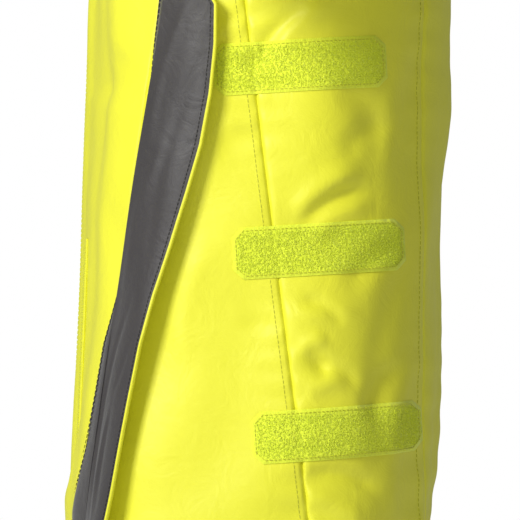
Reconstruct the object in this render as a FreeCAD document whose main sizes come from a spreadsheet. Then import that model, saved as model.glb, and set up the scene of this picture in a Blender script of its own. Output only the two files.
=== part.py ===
"""Foul weather jacket: sewn panels with a hood, raised sleeves, a front zip, pockets and side vents.

Every soft piece is a patch of one layer of the jacket's form, so pieces that lie on each other share a shape.
Heights are measured from the hem; each sub-part's Placement then puts the hanger loop at the origin.
+X is the wearer's left, -Y the front, +Z up. Millimetres.
"""
import FreeCAD, Part
import math
import os
from FreeCAD import Placement, Rotation, Vector

doc = FreeCAD.newDocument("Jacket")
sheet = doc.addObject("Spreadsheet::Sheet", "Sizes")

sizes = {
    # torso form: each level's rise over the one below, half width, reach forward, reach back, squareness
    "hem_rise": 0, "hem_half_width": 240, "hem_front": 148, "hem_back": 126, "hem_square": 3.6,
    "chest_rise": 500, "chest_half_width": 230, "chest_front": 130, "chest_back": 144, "chest_square": 3.0,
    "blade_rise": 100, "blade_half_width": 218, "blade_front": 116, "blade_back": 136, "blade_square": 2.8,
    "shoulder_rise": 60, "shoulder_half_width": 190, "shoulder_front": 98, "shoulder_back": 122,
    "shoulder_square": 2.6,
    "slope_rise": 45, "slope_half_width": 140, "slope_front": 82, "slope_back": 104, "slope_square": 2.4,
    "neck_rise": 40, "neck_half_width": 94, "neck_front": 74, "neck_back": 90, "neck_square": 2.2,
    "collar_rise": 75, "collar_half_width": 88, "collar_front": 84, "collar_back": 80, "collar_square": 2.2,
    # hood form, the first level measured from the neck
    "skirt_rise": -45, "skirt_half_width": 112, "skirt_front": 82, "skirt_back": 96, "skirt_square": 3.0,
    "jaw_rise": 45, "jaw_half_width": 117, "jaw_front": 90, "jaw_back": 104, "jaw_square": 2.9,
    "cheek_rise": 70, "cheek_half_width": 124, "cheek_front": 118, "cheek_back": 120, "cheek_square": 2.3,
    "brow_rise": 80, "brow_half_width": 130, "brow_front": 134, "brow_back": 132, "brow_square": 2.3,
    "crown_rise": 80, "crown_half_width": 118, "crown_front": 126, "crown_back": 126, "crown_square": 2.3,
    "dome_rise": 50, "dome_half_width": 84, "dome_front": 92, "dome_back": 100, "dome_square": 2.2,
    "cap_rise": 20, "cap_half_width": 46, "cap_front": 52, "cap_back": 62, "cap_square": 2.0,
    "form_run_out": 45,
    # fabric
    "wall": 2.5, "lining": 1.5, "layer_gap": 0.3, "pile": 2.0, "flap_wall": 1.2, "hook_pad": 1.0,
    # panels
    "yoke_rise": 90, "hem_facing_height": 40, "back_seam_reach": 124, "hood_centre_half_width": 48,
    "face_opening_reach": 62, "visor_depth": 26, "visor_drop": 70, "hood_seat_gap": 1.0,
    # side vent
    "vent_top_height": 440, "vent_bottom_height": 60, "hinge_top_reach": 76, "hinge_bottom_reach": 130,
    "seam_top_reach": -13, "seam_bottom_reach": 34, "vent_flap_width": 47, "vent_flap_start": 30, "vent_flap_root_gap": 0.6,
    "vent_flap_top": 450, "vent_flap_bevel": 12, "vent_flap_lift": 12, "flap_clearance": 0.5,
    "strip_length": 127, "strip_height": 38, "strip_bevel": 7, "strip_slope": 3.5, "strip_pitch": 134,
    "strip_low_centre": 124, "strip_low_reach": 56, "strip_reach_step": 14, "hook_pad_length": 22,
    # sleeves and cuffs
    "sleeve_root": 130, "sleeve_root_rise": 92, "sleeve_back": 4, "sleeve_drop": 8, "sleeve_length": 690,
    "sleeve_top_radius": 112, "sleeve_cuff_radius": 73, "cuff_length": 55, "cuff_overhang": 5,
    "tab_height": 34, "tab_sweep": 95, "tab_turn": 150, "tab_wall": 2.0, "cuff_patch_sweep": 70,
    "cuff_hook_sweep": 24, "patch_margin": 4,
    # front zip
    "zip_gap": 8, "zip_tape_width": 32, "tooth_start": 0.8, "tooth_end": 4.3, "tooth_pitch": 5,
    "tooth_height": 3, "tooth_depth": 4, "zip_start": 26, "zip_end_margin": 10, "stop_height": 12,
    "slider_height": 495, "slider_half_width": 7, "slider_length": 16, "slider_plate": 1.8,
    "slider_clearance": 0.5, "slider_bridge": 1.0, "pin_radius": 1.0, "pin_stand_off": 3.0, "lug_gap": 6.0,
    "lug_wall": 1.5, "puller_width": 5.6, "puller_length": 34, "puller_wall": 1.6, "puller_bore_gap": 0.3,
    "storm_flap_depth": 10.5, "storm_flap_reach": 30, "storm_flap_root": 34.5, "facing_edge": 36,
    # hand pockets
    "pocket_slit_start": 95, "pocket_slit_width": 10, "pocket_slit_low": 110, "pocket_slit_height": 150,
    "pocket_bag_depth": 16, "pocket_bag_margin": 34, "pocket_bag_drop": 35, "pocket_flap_margin": 6,
    # hanger loop
    "loop_width": 50, "loop_height": 40, "loop_bar": 4, "loop_wall": 3, "loop_foot_rise": 5,
    "loop_reach": 70,
}
for row, (name, value) in enumerate(sizes.items(), start=1):
    sheet.set(f"A{row}", name)
    sheet.set(f"B{row}", str(value))
    sheet.setAlias(f"B{row}", name)
doc.recompute()


def size(name):
    """The driving dimension of this name, as the sheet holds it."""
    return float(sheet.get(name))


reach_out = 1500        # longer than any piece, for cutters that pass right through
section_points = 28     # points around one level of a form


# forms

def levels(names, start):
    """(height, half width, front, back, squareness) of each named level, stacked from start."""
    height = start
    stack = []
    for name in names:
        height += size(f"{name}_rise")
        parts = "half_width", "front", "back", "square"
        stack.append([height] + [size(f"{name}_{part}") for part in parts])
    return stack


def profile(stack, height):
    """The form's half width, front, back and squareness at a height, straight in the first span."""
    count = len(stack)
    index = max(0, min(count - 2, sum(level[0] <= height for level in stack) - 1))
    low, high = stack[index], stack[index + 1]
    span = high[0] - low[0]
    along = (height - low[0]) / span
    if along < 0 or along > 1 or index == 0:
        return [a + (b - a) * along for a, b in zip(low[1:], high[1:])]

    def slope(place, part):
        before, after = (place - 1, place) if place <= 1 else (place - 1, min(place + 1, count - 1))
        return (stack[after][part] - stack[before][part]) / (stack[after][0] - stack[before][0])

    values = []
    for part in range(1, len(low)):
        enter, leave = slope(index, part) * span, slope(index + 1, part) * span
        square, cube = along ** 2, along ** 3
        values.append(low[part] * (2 * cube - 3 * square + 1) + enter * (cube - 2 * square + along)
                      + high[part] * (3 * square - 2 * cube) + leave * (cube - square))
    return values


def surface_point(stack, height, angle, offset=0.0):
    """A point of the form, offset outwards: angle 0 is the wearer's left, 90 the back, in degrees."""
    wide, front, back, square = profile(stack, height)
    deep = (front + back) / 2 + offset
    wide += offset
    across, along = math.cos(math.radians(angle)), math.sin(math.radians(angle))
    reach = (abs(across / wide) ** square + abs(along / deep) ** square) ** (-1 / square)
    return Vector(reach * across, (back - front) / 2 + reach * along, height + offset)


def side_x(stack, height, y, offset=0.0):
    """How far out the left side of the form is at a height and depth."""
    wide, front, back, square = profile(stack, height)
    share = abs(y - (back - front) / 2) / ((front + back) / 2 + offset)
    return (wide + offset) * (1 - share ** square) ** (1 / square)


def front_y(stack, height, x, offset=0.0):
    """The depth of the form's front at a height and distance from the middle."""
    wide, front, back, square = profile(stack, height)
    share = abs(x) / (wide + offset)
    return (back - front) / 2 - ((front + back) / 2 + offset) * (1 - share ** square) ** (1 / square)


def section(stack, height, offset, seam):
    """One closed level of a form, starting at the seam's angle."""
    points = [surface_point(stack, height, seam + 360 * step / section_points, offset)
              for step in range(section_points)]
    steps = [float(step) for step in range(section_points + 1)]
    curve = Part.BSplineCurve()
    curve.interpolate(Points=points, PeriodicFlag=True, Parameters=steps)
    return Part.Wire(curve.toShape())


def feature(name, shape):
    obj = doc.addObject("Part::Feature", name)
    obj.Shape = shape
    return obj


torso = levels(["hem", "chest", "blade", "shoulder", "slope", "neck", "collar"], 0)
neck_height = torso[5][0]
collar_height = torso[6][0]
chest_height = torso[1][0]
hood = levels(["skirt", "jaw", "cheek", "brow", "crown", "dome", "cap"], neck_height)
# each form's levels and the angle of its surface's seam, which is kept out of the pieces cut from it
form_kinds = {"torso": (torso, -90), "front": (torso, 90), "hood": (hood, -90)}
forms = {}


def form(kind, offset):
    """The solid inside a form's surface, grown outwards by offset; each is built once."""
    offset = round(offset, 3)
    if (kind, offset) not in forms:
        stack, seam = form_kinds[kind]
        heights = [level[0] for level in stack]
        if stack is torso:
            heights[1:1] = [chest_height * share for share in (0.25, 0.5, 0.75, 0.9)]
            heights = [-size("form_run_out")] + heights + [collar_height + size("form_run_out")]
        middles = [(low + high) / 2 for low, high in zip(heights, heights[1:]) if high - low > 35]
        loft = doc.addObject("Part::Loft", f"{kind}_form")
        loft.Sections = [feature(f"{kind}_level", section(stack, height, offset, seam))
                         for height in sorted(heights + middles)]
        loft.Solid = True
        doc.recompute([loft])
        forms[kind, offset] = loft
    return forms[kind, offset]


# building helpers

def cut(name, base, *tools):
    """The base less each tool in turn."""
    for tool in tools:
        obj = doc.addObject("Part::Cut", name)
        obj.Base, obj.Tool = base, tool
        base = obj
    return base


def common(name, base, tool):
    obj = doc.addObject("Part::Common", name)
    obj.Base, obj.Tool = base, tool
    return obj


def fuse(name, *pieces):
    obj = doc.addObject("Part::MultiFuse", name)
    obj.Shapes = list(pieces)
    return obj


def group(name, pieces):
    """Several separate solids that are one sub-part."""
    obj = doc.addObject("Part::Compound", name)
    obj.Links = pieces
    return obj


def mirrored(name, source):
    obj = doc.addObject("Part::Mirroring", name)
    obj.Source = source
    obj.Normal = (1, 0, 0)
    return obj


def box(name, corner, length, width, height):
    """A Part::Box; each size is a number or an expression on the sheet."""
    obj = doc.addObject("Part::Box", name)
    for part, value in (("Length", length), ("Width", width), ("Height", height)):
        if isinstance(value, str):
            obj.setExpression(part, value)
        else:
            setattr(obj, part, value)
    obj.Placement = Placement(Vector(*corner), Rotation())
    return obj


def span_box(name, across, along, up):
    """A box between two limits on each axis; None is far outside the jacket."""
    limits = [[-reach_out if low is None else low, reach_out if high is None else high]
              for low, high in (across, along, up)]
    return box(name, [low for low, high in limits], *[high - low for low, high in limits])


def side_prism(name, outline, start, end):
    """An outline of (depth, height) points, pushed along X from start to end."""
    corners = [Vector(start, y, z) for y, z in outline]
    face = Part.Face(Part.makePolygon(corners + corners[:1]))
    return feature(name, face.extrude(Vector(end - start, 0, 0)))


def layer(inner, outer, kind="torso"):
    """The skin of a form between two offsets; each is built once."""
    key = kind, round(inner, 3), round(outer, 3)
    if key not in forms:
        forms[key] = cut(f"{kind}_skin", form(kind, outer), form(kind, inner))
    return forms[key]


def bevelled(half_length, half_height, bevel):
    """A rectangle about the origin with its four corners cut off."""
    long, tall = half_length - bevel, half_height - bevel
    return [(-half_length, -tall), (-long, -half_height), (long, -half_height), (half_length, -tall),
            (half_length, tall), (long, half_height), (-long, half_height), (-half_length, tall)]


# named levels of fabric

wall, lining, gap = size("wall"), size("lining"), size("layer_gap")
lining_outer = -wall - gap
lining_inner = lining_outer - lining
pile_outer = gap + size("pile")
pads_inner = pile_outer + size("flap_clearance")
cover_inner = size("flap_clearance")
pads_outer = pads_inner + size("hook_pad")
flap_inner = pads_outer + gap
flap_middle = flap_inner + size("flap_wall")
facing_inner = flap_middle + gap
facing_outer = facing_inner + size("flap_wall")

yoke_height = chest_height + size("yoke_rise")
vent_low, vent_high = size("vent_bottom_height"), size("vent_top_height")


def line_at(low_reach, high_reach, height):
    """The depth of a straight line on the side between the vent's bottom and top, at any height."""
    return low_reach + (high_reach - low_reach) * (height - vent_low) / (vent_high - vent_low)


def hinge_line(height):
    return line_at(-size("hinge_bottom_reach"), -size("hinge_top_reach"), height)


def seam_line(height):
    return line_at(size("seam_bottom_reach"), size("seam_top_reach"), height)


# sleeves' own frame

drop = math.radians(size("sleeve_drop"))
sleeve_origin = Vector(size("sleeve_root"), size("sleeve_back"), chest_height + size("sleeve_root_rise"))
sleeve_way = Vector(math.cos(drop), 0, -math.sin(drop))
sleeve_turn = Rotation(Vector(0, 1, 0), 90 + size("sleeve_drop"))
sleeve_taper = ("(Sizes.sleeve_top_radius - (Sizes.sleeve_top_radius - Sizes.sleeve_cuff_radius)"
                " * ({place}) / Sizes.sleeve_length + ({offset}))")


def sleeve_cone(name, start, end, offset, sweep=360, turn=0):
    """A length of the sleeve's cone, grown by offset, or a sector of it."""
    cone = doc.addObject("Part::Cone", name)
    cone.setExpression("Radius1", sleeve_taper.format(place=start, offset=offset))
    cone.setExpression("Radius2", sleeve_taper.format(place=end, offset=offset))
    cone.Height = end - start
    cone.Angle = sweep
    spin = Rotation(Vector(0, 0, 1), turn)
    cone.Placement = Placement(sleeve_origin + sleeve_way * start, sleeve_turn * spin)
    return cone


def sleeve_ring(name, start, end, inner, outer, sweep=360, turn=0):
    """A tube around the sleeve between two places along it and two offsets."""
    margin = 5
    hole = sleeve_cone(name, start - margin, end + margin, inner)
    return cut(name, sleeve_cone(name, start, end, outer, sweep, turn), hole)


def cuff_tab_hinge():
    """A point on the cuff tab's sewn edge and the way that the edge runs."""
    start, end = tab_span()
    rim = flap_rim(start), flap_rim(end)
    return rim[0], (rim[1] - rim[0]).normalize()


def flap_rim(place):
    """The tab's inner corner at its sewn end, at a place along the sleeve."""
    taper = size("sleeve_top_radius") - size("sleeve_cuff_radius")
    radius = size("sleeve_top_radius") - taper * place / size("sleeve_length") + tab_inner()
    turn = math.radians(size("tab_turn"))
    return sleeve_origin + sleeve_way * place + sleeve_turn.multVec(
        Vector(radius * math.cos(turn), radius * math.sin(turn), 0))


def tab_span():
    """Where the cuff tab starts and ends along the sleeve."""
    middle = size("sleeve_length") + size("cuff_overhang") - size("cuff_length") / 2
    return middle - size("tab_height") / 2, middle + size("tab_height") / 2


def tab_inner():
    return gap + wall + gap + size("pile") + gap + size("hook_pad") + gap


# sub-parts

def loop_point():
    """Under the top bar of the hanger loop, where a hook bears: the jacket's origin."""
    top = neck_height + size("loop_foot_rise") + size("loop_height")
    return Vector(0, size("loop_reach") + size("loop_wall") / 2, top - size("loop_bar"))


subparts = {}
to_loop = Placement(-loop_point(), Rotation())


def subpart(name, obj, place=Placement()):
    """Names a finished piece and puts it in the jacket's frame."""
    obj.Label = name
    obj.Placement = to_loop * place
    subparts[name] = obj


def pair(name, left, place=Placement()):
    """The left piece and its mirror image."""
    subpart(f"{name}_left", left, place)
    right = mirrored(f"{name}_right", left)
    right.Label = f"{name}_right"
    subparts[right.Label] = right


def make_panels():
    hole = sleeve_cone("armhole", 0, size("sleeve_length"), f"-{wall}")
    other_hole = mirrored("armhole", hole)
    slit_start, slit_low = size("pocket_slit_start"), size("pocket_slit_low")
    slit = span_box("pocket_slit", (slit_start, slit_start + size("pocket_slit_width")), (None, 0),
                    (slit_low, slit_low + size("pocket_slit_height")))
    shell = cut("shell", layer(-wall, 0), hole, other_hole)
    ends = (0, yoke_height)
    hinge = [(hinge_line(height), height) for height in ends]
    seam = [(seam_line(height), height) for height in ends]
    rear = [(size("back_seam_reach"), height) for height in ends]
    far_front = [(-reach_out, height) for height in ends]
    middle = size("zip_gap")
    front = side_prism("front_outline", far_front + hinge[::-1], middle, reach_out)
    pair("front_panel", cut("front_panel_left", common("front_panel", shell, front), slit))
    gusset = side_prism("gusset_outline", hinge + seam[::-1], 0, reach_out)
    pair("vent_gusset", common("vent_gusset_left", shell, gusset))
    side = side_prism("side_outline", seam + rear[::-1], 0, reach_out)
    pair("side_back_panel", common("side_back_panel_left", shell, side))
    back = span_box("back_outline", (None, None), (size("back_seam_reach"), None), ends)
    subpart("back_panel", common("back_panel", shell, back))
    yoke = span_box("yoke_outline", (None, None), (None, None), (yoke_height, neck_height))
    zip_cut = span_box("zip_way", (-middle, middle), (None, 0), (None, None))
    subpart("shoulder_yoke", cut("shoulder_yoke", common("yoke", shell, yoke), zip_cut))


def make_lining():
    skin = layer(lining_inner, lining_outer)
    edge = size("facing_edge")
    zip_room = span_box("zip_room", (-edge, edge), (None, 0), (None, None))
    hole = sleeve_cone("armhole", 0, size("sleeve_length"), f"-{wall}")
    facing_top = size("hem_facing_height")
    hem = span_box("hem_span", (None, None), (None, None), (0, facing_top))
    body = span_box("lining_span", (None, None), (None, None), (facing_top, neck_height))
    collar = span_box("collar_span", (None, None), (None, None), (neck_height, collar_height))
    start = size("pocket_slit_start") - size("pocket_bag_margin") - gap
    end = size("pocket_slit_start") + size("pocket_slit_width") + size("pocket_bag_margin") + gap
    low = size("pocket_slit_low") - size("pocket_bag_drop") - gap
    high = size("pocket_slit_low") + size("pocket_slit_height") + size("pocket_flap_margin") + gap
    bag_room = span_box("bag_room", (start, end), (None, 0), (low, high))
    subpart("hem_facing", cut("hem_facing", common("hem", skin, hem), zip_room))
    holed = cut("holed_skin", skin, hole, mirrored("armhole", hole))
    subpart("body_lining", cut("body_lining", common("lining", holed, body), zip_room,
                               bag_room, mirrored("bag_room", bag_room)))
    subpart("collar_lining", cut("collar_lining", common("collar", skin, collar), zip_room))


def make_collar():
    ring = common("collar", layer(-wall, 0),
                  span_box("collar_span", (None, None), (None, None), (neck_height, collar_height)))
    zip_cut = span_box("zip_way", (-size("zip_gap"), size("zip_gap")), (None, 0), (None, None))
    subpart("collar_shell", cut("collar_shell", ring, zip_cut))


def make_hood():
    face = span_box("face", (None, None), (None, -size("face_opening_reach")), (None, None))
    skin = cut("hood_skin", layer(-wall, 0, "hood"), face, form("torso", size("hood_seat_gap")))
    half = size("hood_centre_half_width")
    centre = span_box("hood_centre_span", (-half, half), (None, None), (chest_height, None))
    side = span_box("hood_side_span", (half, None), (None, None), (chest_height, None))
    subpart("hood_centre", common("hood_centre", skin, centre))
    pair("hood_side", common("hood_side_left", skin, side))
    edge = -size("face_opening_reach")
    top = hood[-1][0]
    peak = span_box("visor_span", (None, None), (edge, edge + size("visor_depth")),
                    (top - size("visor_drop"), None))
    subpart("hood_visor", common("hood_visor", layer(gap, gap + wall, "hood"), peak))


def make_sleeves():
    length = size("sleeve_length")
    body = form("torso", gap)
    far_side = span_box("far_side", (None, 0), (None, None), (None, None))
    tube = sleeve_ring("sleeve", 0, length, f"-{wall}", "0")
    pair("sleeve", cut("sleeve_left", tube, body, far_side))
    inner = sleeve_ring("sleeve_lining", 0, length, f"{lining_inner}", f"{lining_outer}")
    pair("sleeve_lining", cut("sleeve_lining_left", inner, body, far_side))
    cuff_end = length + size("cuff_overhang")
    cuff_start = cuff_end - size("cuff_length")
    pair("cuff", sleeve_ring("cuff_left", cuff_start, cuff_end, f"{gap}", f"{gap + wall}"))


def make_cuff_tabs():
    start, end = tab_span()
    turn, sweep, margin = size("tab_turn"), size("tab_sweep"), size("patch_margin")
    inner = tab_inner()
    outer = inner + size("tab_wall")
    pair("cuff_tab", sleeve_ring("cuff_tab_left", start, end, f"{inner}", f"{outer}", sweep, turn))
    loop_in = gap + wall + gap
    loop_out = loop_in + size("pile")
    loop_sweep = size("cuff_patch_sweep")
    loop_turn = turn + sweep - loop_sweep / 2
    pair("cuff_loop_patch", sleeve_ring("cuff_loop_patch_left", start + margin, end - margin,
                                        f"{loop_in}", f"{loop_out}", loop_sweep, loop_turn))
    hook_sweep = size("cuff_hook_sweep")
    hook_out = inner - gap
    hook_in = hook_out - size("hook_pad")
    hook_turn = turn + sweep - hook_sweep - margin / 2
    pair("cuff_hook_patch", sleeve_ring("cuff_hook_patch_left", start + margin, end - margin,
                                        f"{hook_in}", f"{hook_out}", hook_sweep, hook_turn))


def vent_hinge():
    """The line that the vent flap turns on: its lower point and its way up.

    The jacket's side bulges a little over a straight line, so the line stands out by as much.
    """
    low, high = size("vent_flap_start"), size("vent_flap_top")
    steps = 8
    line = [Vector(side_x(torso, height, hinge_line(height), pads_inner), hinge_line(height), height)
            for height in (low + (high - low) * step / steps for step in range(steps + 1))]
    chord = line[-1] - line[0]
    bulge = max(point.x - (line[0] + chord * step / steps).x for step, point in enumerate(line))
    return line[0] + Vector(bulge, 0, 0), chord.normalize()


def make_vent_flaps():
    low, high, bevel = size("vent_flap_start"), size("vent_flap_top"), size("vent_flap_bevel")
    width = size("vent_flap_width")

    point, way = vent_hinge()

    def root(height):
        """The sewn edge: the first place round the side from the line that lies clear of the turning line."""
        y = hinge_line(height)
        axle = point + way * ((height - point.z) / way.z)
        clear = -1
        while clear < size("vent_flap_root_gap"):
            y += 0.5
            here = Vector(side_x(torso, height, y), y, height)
            round_way = Vector(side_x(torso, height, y + 1), y + 1, height) - here
            clear = (here - axle).dot(round_way.normalize())
        return y

    def reach(height):
        """The free edge, as far round the side from the hinge line as the flap is wide."""
        y = hinge_line(height)
        travelled = 0
        while travelled < width:
            here = Vector(side_x(torso, height, y), y, 0)
            there = Vector(side_x(torso, height, y + 1), y + 1, 0)
            travelled += (there - here).Length
            y += 1
        return y

    steps = 6
    heights = [low + (high - bevel - low) * step / steps for step in range(steps + 1)]
    outline = [(reach(height), height) for height in heights] + [(reach(high) - bevel, high)]
    outline += [(root(height), height) for height in [high] + heights[::-1]]
    prism = side_prism("vent_flap_outline", outline, 0, reach_out)
    lift = Placement(Vector(), Rotation(way, -size("vent_flap_lift")), point)
    pair("vent_flap_shell", common("vent_flap_shell_left", layer(flap_inner, flap_middle), prism), lift)
    pair("vent_flap_facing", common("vent_flap_facing_left", layer(facing_inner, facing_outer), prism), lift)
    corner_signs = (-1, -1), (1, -1), (1, 1), (-1, 1)
    pads = []
    half = size("hook_pad_length") / 2
    for height in strip_heights():
        middle = (hinge_line(height) + reach(height)) / 2
        pad = [(middle + across * half / 2, height + up * half) for across, up in corner_signs]
        prism = side_prism("pad_outline", pad, 0, reach_out)
        pads.append(common("hook_pad", layer(pads_inner, pads_outer), prism))
    pair("vent_flap_hook_pads", group("vent_flap_hook_pads_left", pads), lift)


def strip_heights():
    return [size("strip_low_centre") + size("strip_pitch") * step for step in range(3)]


def make_vent_strips():
    skin = layer(gap, pile_outer)
    slope = math.radians(size("strip_slope"))
    half_length, half_height = size("strip_length") / 2, size("strip_height") / 2
    for step, (level, height) in enumerate(zip(("lower", "middle", "upper"), strip_heights())):
        reach = size("strip_low_reach") - size("strip_reach_step") * step
        outline = [(reach + y * math.cos(slope) - z * math.sin(slope),
                    height + y * math.sin(slope) + z * math.cos(slope))
                   for y, z in bevelled(half_length, half_height, size("strip_bevel"))]
        pair(f"vent_loop_strip_{level}", common("vent_loop_strip_left", skin,
                                               side_prism("strip_outline", outline, 0, reach_out)))


def make_zip():
    tape_skin = layer(lining_inner, lining_outer)
    tape = span_box("tape_span", (size("tooth_end"), size("zip_tape_width")), (None, 0),
                    (size("zip_start") - size("stop_height"), collar_height - size("zip_end_margin") / 2))
    pair("zip_tape", common("zip_tape_left", tape_skin, tape))
    top = collar_height - size("zip_end_margin")
    count = int((top - size("zip_start")) / size("tooth_pitch"))
    start, depth = size("tooth_start"), size("tooth_depth")
    middle = (lining_inner + lining_outer) / 2
    teeth = []
    for step in range(count):
        height = size("zip_start") + step * size("tooth_pitch")
        y = front_y(torso, height, 0) - middle - depth / 2
        teeth.append(box("tooth", (start, y, height), "Sizes.tooth_end - Sizes.tooth_start",
                         "Sizes.tooth_depth", "Sizes.tooth_height"))
    pair("zip_teeth", group("zip_teeth_left", teeth))
    low = size("zip_start") - size("stop_height") - 1
    stops = [box("bottom_stop", (-size("tooth_end"), front_y(torso, low, 0) - middle - depth / 2, low),
                 "2 * Sizes.tooth_end", "Sizes.tooth_depth", "Sizes.stop_height")]
    y = front_y(torso, top, 0) - middle - depth / 2
    stops.append(box("top_stop", (start, y, top), "Sizes.tooth_end - Sizes.tooth_start",
                     "Sizes.tooth_depth", "Sizes.tooth_height"))
    stops.append(mirrored("top_stop", stops[-1]))
    subpart("zip_stops", group("zip_stops", stops))


def zip_way():
    """A point of the zip's front line at the slider's rest and its way up the straight stretch."""
    low, high = (Vector(0, front_y(torso, height, 0), height) for height in (0, chest_height))
    rest = size("slider_height")
    return Vector(0, front_y(torso, rest, 0), rest), (high - low).normalize()


def slider_frame():
    """The slider's frame: its Y points into the jacket, its Z up the zip."""
    point, way = zip_way()
    return Placement(point, Rotation(Vector(0, 0, 1), way))


def make_slider():
    half, length, plate = size("slider_half_width"), size("slider_length"), size("slider_plate")
    middle = -(lining_inner + lining_outer) / 2
    room = size("tooth_depth") / 2 + size("slider_clearance")
    bridge, lug_gap, lug = size("slider_bridge"), size("lug_gap"), size("lug_wall")
    front = middle - room - plate
    pin_y = front - size("pin_stand_off")
    low = -length / 2
    pin_lift = length / 4
    pieces = [
        box("front_plate", (-half, front, low), 2 * half, "Sizes.slider_plate", "Sizes.slider_length"),
        box("back_plate", (-half, middle + room, low), 2 * half, "Sizes.slider_plate", "Sizes.slider_length"),
        box("bridge", (-bridge / 2, middle - room, low), "Sizes.slider_bridge", 2 * room,
            "Sizes.slider_length / 2"),
    ]
    pin = doc.addObject("Part::Cylinder", "pin")
    pin.setExpression("Radius", "Sizes.pin_radius")
    pin.Height = lug_gap + 2 * lug
    pin.Placement = Placement(Vector(-lug_gap / 2 - lug, pin_y, pin_lift), Rotation(Vector(0, 1, 0), 90))
    pieces.append(pin)
    lug_half = size("pin_radius") + 1
    for x in (-lug_gap / 2 - lug, lug_gap / 2):
        pieces.append(box("lug", (x, pin_y - lug_half, pin_lift - lug_half), "Sizes.lug_wall",
                          front - pin_y + lug_half, 2 * lug_half))
    subpart("zip_slider", fuse("zip_slider", *pieces), slider_frame())
    make_puller(pin_y, pin_lift)


def make_puller(pin_y, pin_lift):
    """A tab that hangs from a barrel around the slider's pin."""
    body = doc.addObject("PartDesign::Body", "zip_puller")
    width, reach = size("puller_width"), size("puller_length")
    bore = size("pin_radius") + size("puller_bore_gap")
    rim = bore + size("puller_wall") / 2
    side = plane_sketch(body, "puller_side", "YZ_Plane")
    side.addGeometry(Part.Circle(Vector(0, 0, 0), Vector(0, 0, 1), rim))
    pad(body, side, width)
    tongue = plane_sketch(body, "puller_tongue", "YZ_Plane")
    half = size("puller_wall") / 2
    rectangle(tongue, -half, -reach, half, -bore - half / 2)
    pad(body, tongue, width)
    hole = plane_sketch(body, "puller_bore", "YZ_Plane")
    hole.addGeometry(Part.Circle(Vector(0, 0, 0), Vector(0, 0, 1), bore))
    pocket = body.newObject("PartDesign::Pocket", "pin_bore")
    pocket.Profile = hole
    pocket.Type = "ThroughAll"
    pocket.Midplane = True
    grip = plane_sketch(body, "puller_grip", "XZ_Plane")
    grip.addGeometry(Part.Circle(Vector(0, -reach + width / 2 + 1, 0), Vector(0, 0, 1), width / 4))
    eye = body.newObject("PartDesign::Pocket", "puller_eye")
    eye.Profile = grip
    eye.Type = "ThroughAll"
    eye.Midplane = True
    body.Tip = eye
    subpart("zip_puller", body, slider_frame() * Placement(Vector(0, pin_y, pin_lift), Rotation()))


def plane_sketch(body, name, role):
    """A sketch on one of the body's own origin planes."""
    sketch = body.newObject("Sketcher::SketchObject", name)
    plane = next(item for item in body.Origin.OriginFeatures if item.Role == role)
    sketch.AttachmentSupport = [(plane, "")]
    sketch.MapMode = "FlatFace"
    return sketch


def rectangle(sketch, left, low, right, high):
    corners = [Vector(left, low, 0), Vector(right, low, 0), Vector(right, high, 0), Vector(left, high, 0)]
    for start, end in zip(corners, corners[1:] + corners[:1]):
        sketch.addGeometry(Part.LineSegment(start, end))


def pad(body, sketch, length):
    obj = body.newObject("PartDesign::Pad", f"{sketch.Name}_pad")
    obj.Profile = sketch
    obj.Length = length
    obj.Midplane = True
    return obj


def make_storm_flap():
    """The draught flap behind the zip, sewn to the left front by its root."""
    depth, root = size("storm_flap_depth"), size("storm_flap_root")
    start = size("zip_start") - size("stop_height")
    solid = common("storm_solid", layer(-depth - lining, lining_outer, "front"),
                   span_box("storm_span", (-size("storm_flap_reach"), root), (None, 0), (start, neck_height)))
    behind = common("storm_hollow", layer(-depth, 0, "front"),
                    span_box("hollow_span", (None, root - lining), (None, 0), (None, None)))
    subpart("storm_flap", cut("storm_flap", solid, behind))


def make_pockets():
    start, width = size("pocket_slit_start"), size("pocket_slit_width")
    low, tall = size("pocket_slit_low"), size("pocket_slit_height")
    edge, margin, below = size("pocket_flap_margin"), size("pocket_bag_margin"), size("pocket_bag_drop")
    depth = size("pocket_bag_depth")
    side_limits = start - margin, start + width + margin
    end_limits = low - below, low + tall + edge
    outside = span_box("bag_span", side_limits, (None, 0), end_limits)
    inside = span_box("bag_room", (side_limits[0] + lining, side_limits[1] - lining), (None, 0),
                      (end_limits[0] + lining, end_limits[1] - lining))
    solid = common("bag_solid", layer(lining_outer - depth, lining_outer), outside)
    room = common("bag_hollow", layer(lining_outer - depth + lining, 0), inside)
    pair("pocket_bag", cut("pocket_bag_left", solid, room))
    cover = span_box("cover_span", (start - 2 * edge, start + width + edge), (None, 0),
                     (low - edge, low + tall + edge))
    cover_outer = cover_inner + 2 * size("flap_wall")
    pair("pocket_flap", common("pocket_flap_left", layer(cover_inner, cover_outer), cover))


def pocket_hinge():
    """The pocket flap's sewn edge: its lower point on the flap's inner face, and its way up."""
    x = size("pocket_slit_start") - 2 * size("pocket_flap_margin")
    low = size("pocket_slit_low") - size("pocket_flap_margin")
    high = low + size("pocket_slit_height") + 2 * size("pocket_flap_margin")
    ends = [Vector(x, front_y(torso, height, x, cover_inner), height) for height in (low, high)]
    return ends[0], (ends[1] - ends[0]).normalize()


def hood_hinge():
    """Where the hood's back edge meets the yoke: the line that it tips back on."""
    height = neck_height + size("skirt_rise")
    y = front_and_back(hood, height + size("form_run_out"))[1]
    return Vector(0, y, hood_seat(y)), Vector(1, 0, 0)


def front_and_back(stack, height):
    wide, front, back, square = profile(stack, height)
    return -front, back


def hood_seat(y):
    """The height at which the torso's back is as far out as y, near the neck."""
    height = neck_height
    while front_and_back(torso, height)[1] < y:
        height -= 1
    return height


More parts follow.
